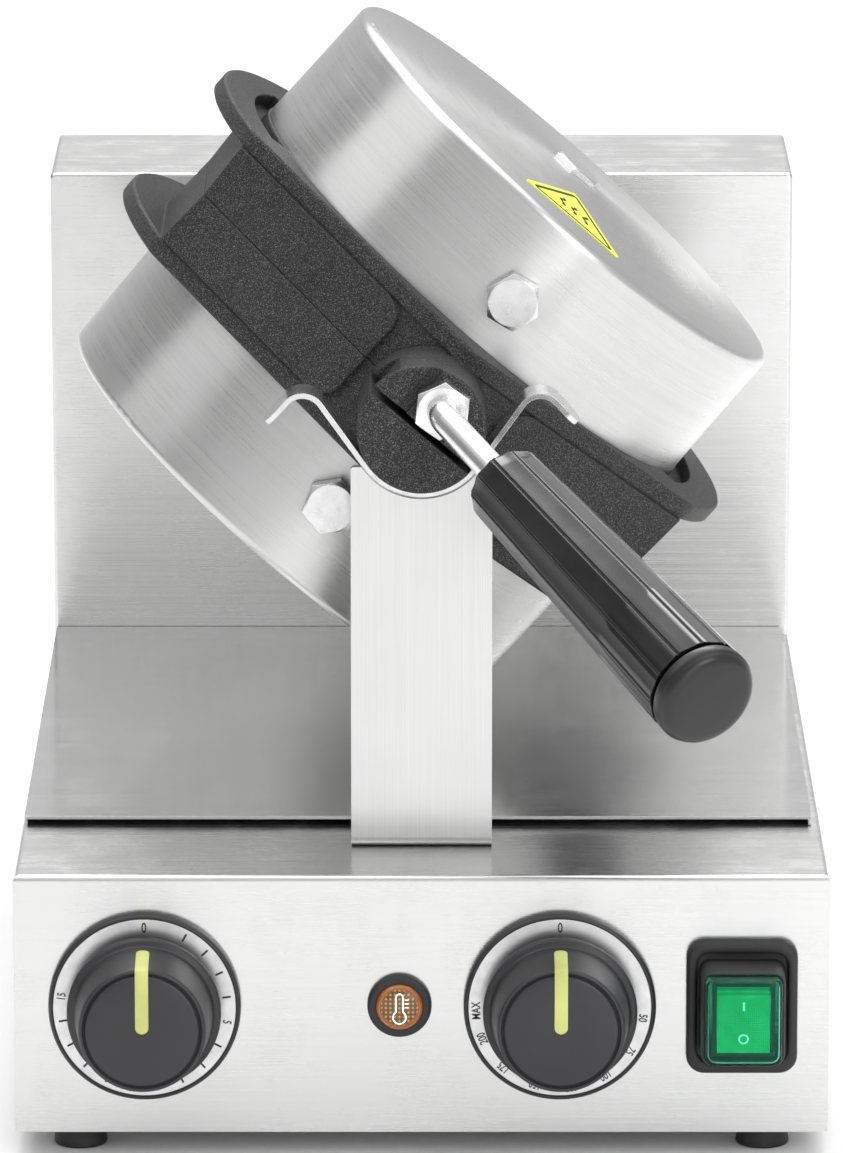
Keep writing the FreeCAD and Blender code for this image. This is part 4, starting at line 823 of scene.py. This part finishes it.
def make_boot(place):
    """Clear boot with an even wall and a softly rounded face."""
    half_x, half_y = half_size("switch_cover")
    tip = stand_out("switch_cover")
    wall = 0.9
    # Each step: how far in from the side, corner radius and height above the panel.
    steps = [(0, 2.5, 0), (0, 2.5, tip - 2.6), (0.25, 2.6, tip - 1.3), (0.9, 2.8, tip - 0.45),
             (1.9, 2.6, tip - 0.05), (3.2, 2.2, tip), (6.0, 1.5, tip)]
    outside, inside = [], []
    for inwards, corner, height in steps:
        lower = height - wall if height else 0
        outside.append(rounded_outline(half_x - inwards, half_y - inwards, corner, height))
        inside.append(rounded_outline(half_x - wall - inwards, half_y - wall - inwards, corner, lower))
    piece("switch_boot", "base", "clear_green", rings(inside[::-1] + outside),
          stands_for=("switch_cover",), place=place)


def make_switch():
    """Rubber frame, clear boot, and the line and ring printed on the rocker's two halves."""
    place = control("switch_frame")
    make_surround(place)
    make_boot(place)
    line = ribbon([(0, 3.6), (0, 5.2), (0, 6.8)], 0.75)
    ring = ribbon(arc(0, -6.4, 1.45, 0, 360, 32), 0.55)
    marks = lay(gather([line, ring]), "switch_rocker", place, 0.06)
    piece("rocker_marks", "rocker_body", "white_ink", marks)


# ---------------------------------------------------------------- sticker and baking faces

def make_label_marks():
    """A dark border and three plain wavy bars on the triangular sticker."""
    local = [DRUM.inverted() @ Vector(p) for p in node_skin("cover_label")[0]]
    front, apex = min(p.y for p in local) / MM, max(p.y for p in local) / MM
    side = max(p.x for p in local) / MM
    beside, before, behind = side - 5.2, front + 2.9, apex - 5.6
    corners = []
    for x, y, facing in ((-beside, before, 210), (beside, before, 330), (0, behind, 90)):
        corners += arc(x, y, 1.2, facing - 60, facing + 60, 6)
    border = dense(corners + corners[:1], 2)[:-1]
    shapes = [ribbon(border, 1.5, closed=True)]
    for x in (-5.0, 0.0, 5.0):
        bar = [(x + 0.9 * math.sin(t * 1.3), front + 8.0 + t * 1.3) for t in range(8)]
        shapes.append(ribbon(bar, 1.5))
    marks = lay(gather(shapes), "cover_label", DRUM, 0.05)
    piece("label_marks", "lid", "dark_ink", marks)


GRID_REACH, GRID_PITCH, GRID_DEPTH = 85.6, 5.4, 0.75
# From the plane between the baking faces to the floor between the lands.
GRID_FLOOR = 1.3


def grid_land(x, y, up):
    """One square land with sloping walls and the floor round it."""
    points, faces = [], []
    outlines = ((GRID_PITCH / 2, GRID_FLOOR), (GRID_PITCH * 0.37, GRID_FLOOR),
                (GRID_PITCH * 0.27, GRID_FLOOR - GRID_DEPTH))
    for half, height in outlines:
        for sx, sy in ((1, 1), (-1, 1), (-1, -1), (1, -1)):
            points.append((x + sx * half, y + sy * half, up * height))
    for ring in (0, 4):
        for k in range(4):
            m = (k + 1) % 4
            faces.append((ring + k, ring + m, ring + 4 + m, ring + 4 + k))
    faces.append((8, 9, 10, 11))
    return points, faces


def make_grid(name, body, up):
    """Baking face: a shallow grid of square lands inside a low rim. up is 1 in the lid and -1 below."""
    count = int(GRID_REACH / GRID_PITCH) + 1
    lands = []
    for i in range(-count, count + 1):
        for j in range(-count, count + 1):
            x, y = i * GRID_PITCH, j * GRID_PITCH
            if math.hypot(abs(x) + GRID_PITCH / 2, abs(y) + GRID_PITCH / 2) <= GRID_REACH:
                lands.append(grid_land(x, y, up))
    rim = [circle(GRID_REACH - inwards, up * (GRID_FLOOR + rise), 160)
           for inwards, rise in ((3.5, 0.02), (1.6, -0.9), (0.2, -0.9), (0, 0.02))]
    shape = gather(lands + [rings(rim, capped=False)])
    piece(name, body, "cast_iron", shape, place=DRUM, sharp=25)


# ---------------------------------------------------------------- handle and gland

# The grip's ends, measured along the handle from the rod's bend, and its radius at each.
GRIP_START, GRIP_END = 43.6, 175.0
GRIP_RADII = (13.5, 16.9)
# Lengths along the grip of its domed shoulder, of the neck under the cap and of the rod's hole.
SHOULDER, NECK, HOLE = 3.2, 1.4, 90
NECK_RADIUS, HOLE_RADIUS = 14.9, 5.0
FLATS = 12
# Over one flat, from groove to groove: place across it, and how far below the surface.
FLAT_EDGE = 0.41
FLAT_SECTION = [(-0.5, 0.15), (-0.475, 0.62), (-0.45, 0.15), (-FLAT_EDGE, 0.02), (-0.2, 0.06), (0, 0.1),
                (0.2, 0.06), (FLAT_EDGE, 0.02), (0.45, 0.15), (0.475, 0.62)]
CAP_PROFILE = [(4, 175.0), (15.6, 175.0), (16.4, 175.15), (16.85, 175.6), (17.0, 176.2), (17.0, 178.2),
               (16.8, 179.0), (16.5, 179.3), (16.3, 179.9), (15.9, 180.7), (15.1, 181.5), (14.0, 182.05),
               (12.5, 182.3), (7, 182.5), (0.01, 182.6)]


def grip_section(radius, along):
    """Points round the grip at one place along it."""
    dome = max(0.0, 1 - (along - GRIP_START) / SHOULDER)
    middle_of_flat = math.cos(TAU / 2 / FLATS)
    points = []
    for i in range(FLATS):
        for at, depth in FLAT_SECTION:
            a = (i + at) * TAU / FLATS
            flat = middle_of_flat / math.cos(max(-FLAT_EDGE, min(FLAT_EDGE, at)) * TAU / FLATS)
            r = radius * (flat + (1 - middle_of_flat) * 0.7) - depth
            r -= dome ** 2.2 * (3.2 + 0.9 * math.cos(TAU * at))
            points.append((r * math.cos(a), r * math.sin(a), along))
    return points


def make_grip():
    """Glossy grip with broad flats, a double groove between each pair and a domed shoulder, and its cap."""
    axes = handle_axes()
    first, last = GRIP_RADII
    neck_start = GRIP_END - NECK
    levels = []
    for share in [0, 0.003, 0.008, 0.015, 0.024] + [0.024 + 0.976 * i / 24 for i in range(1, 25)]:
        along = GRIP_START + (neck_start - GRIP_START) * share
        levels.append(grip_section(first + (last - first) * share, along))
    count = len(levels[0])
    groove = -TAU / 2 / FLATS
    hole = [circle(HOLE_RADIUS, along, count, groove) for along in (GRIP_START + HOLE, GRIP_START)]
    neck = [circle(NECK_RADIUS, along, count, groove) for along in (neck_start, GRIP_END)]
    piece("grip_body", "lid", "black_bakelite", rings(hole + levels + neck),
          stands_for=("handle_grip",), place=axes, sharp=35)
    piece("grip_cap", "lid", "cap", lathe(CAP_PROFILE, 96), stands_for=("handle_end_cap",),
          place=axes)


GLAND_STEPS = 48
GLAND_BORE, GLAND_THREAD, GLAND_INSIDE = 4, 7, -9
HEXAGON_CORNER = 11.5


def hexagon(corner, height):
    """Points round a hexagon."""
    points = []
    for i in range(GLAND_STEPS):
        a = TAU * i / GLAND_STEPS
        flat = math.cos(math.pi / 6) / math.cos((a % (math.pi / 3)) - math.pi / 6)
        points.append((corner * flat * math.cos(a), corner * flat * math.sin(a), height))
    return points


def make_gland():
    """Ribbed gland dome on its hexagon, behind the machine."""
    low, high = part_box("cable_gland")
    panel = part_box("back_panel")[1].y
    across, up = (low.x + high.x) / 2, (low.z + high.z) / 2
    place = Matrix(((1, 0, 0, across), (0, 0, 1, panel), (0, 1, 0, up), (0, 0, 0, 1)))
    reach = (high.y - panel) / MM
    thread = [(GLAND_BORE, GLAND_INSIDE), (GLAND_THREAD, GLAND_INSIDE), (GLAND_THREAD, 0)]
    nut = [(1.0, 0.0), (1.0, 5.2), (0.95, 5.8)]
    dome = [(9.0, 6.0), (8.9, 7.0), (8.1, 7.3), (8.1, 7.8), (8.6, 8.1), (8.4, 9.0), (7.6, 9.3), (7.6, 9.8),
            (8.0, 10.1), (7.8, 11.0), (7.1, 11.3), (7.1, 11.8), (7.3, 12.2), (6.9, reach - 0.6),
            (6.3, reach), (4.6, reach), (GLAND_BORE, reach - 0.5), (GLAND_BORE, GLAND_INSIDE)]
    levels = [circle(radius, height, GLAND_STEPS) for radius, height in thread]
    levels += [hexagon(HEXAGON_CORNER * share, height) for share, height in nut]
    levels += [circle(radius, height, GLAND_STEPS) for radius, height in dome]
    piece("gland_dome", "base", "black_plastic", rings(levels, capped=False),
          stands_for=("cable_gland",), place=place)


# ---------------------------------------------------------------- the scene

make_camera()
make_world()
make_floor()
make_softboxes()
dress_frame()
make_dials()
make_lamp()
make_switch()
make_label_marks()
make_grid("upper_grid", "lid", 1)
make_grid("lower_grid", "drum", -1)
make_grip()
make_gland()

bpy.context.scene.view_settings.view_transform = "Standard"
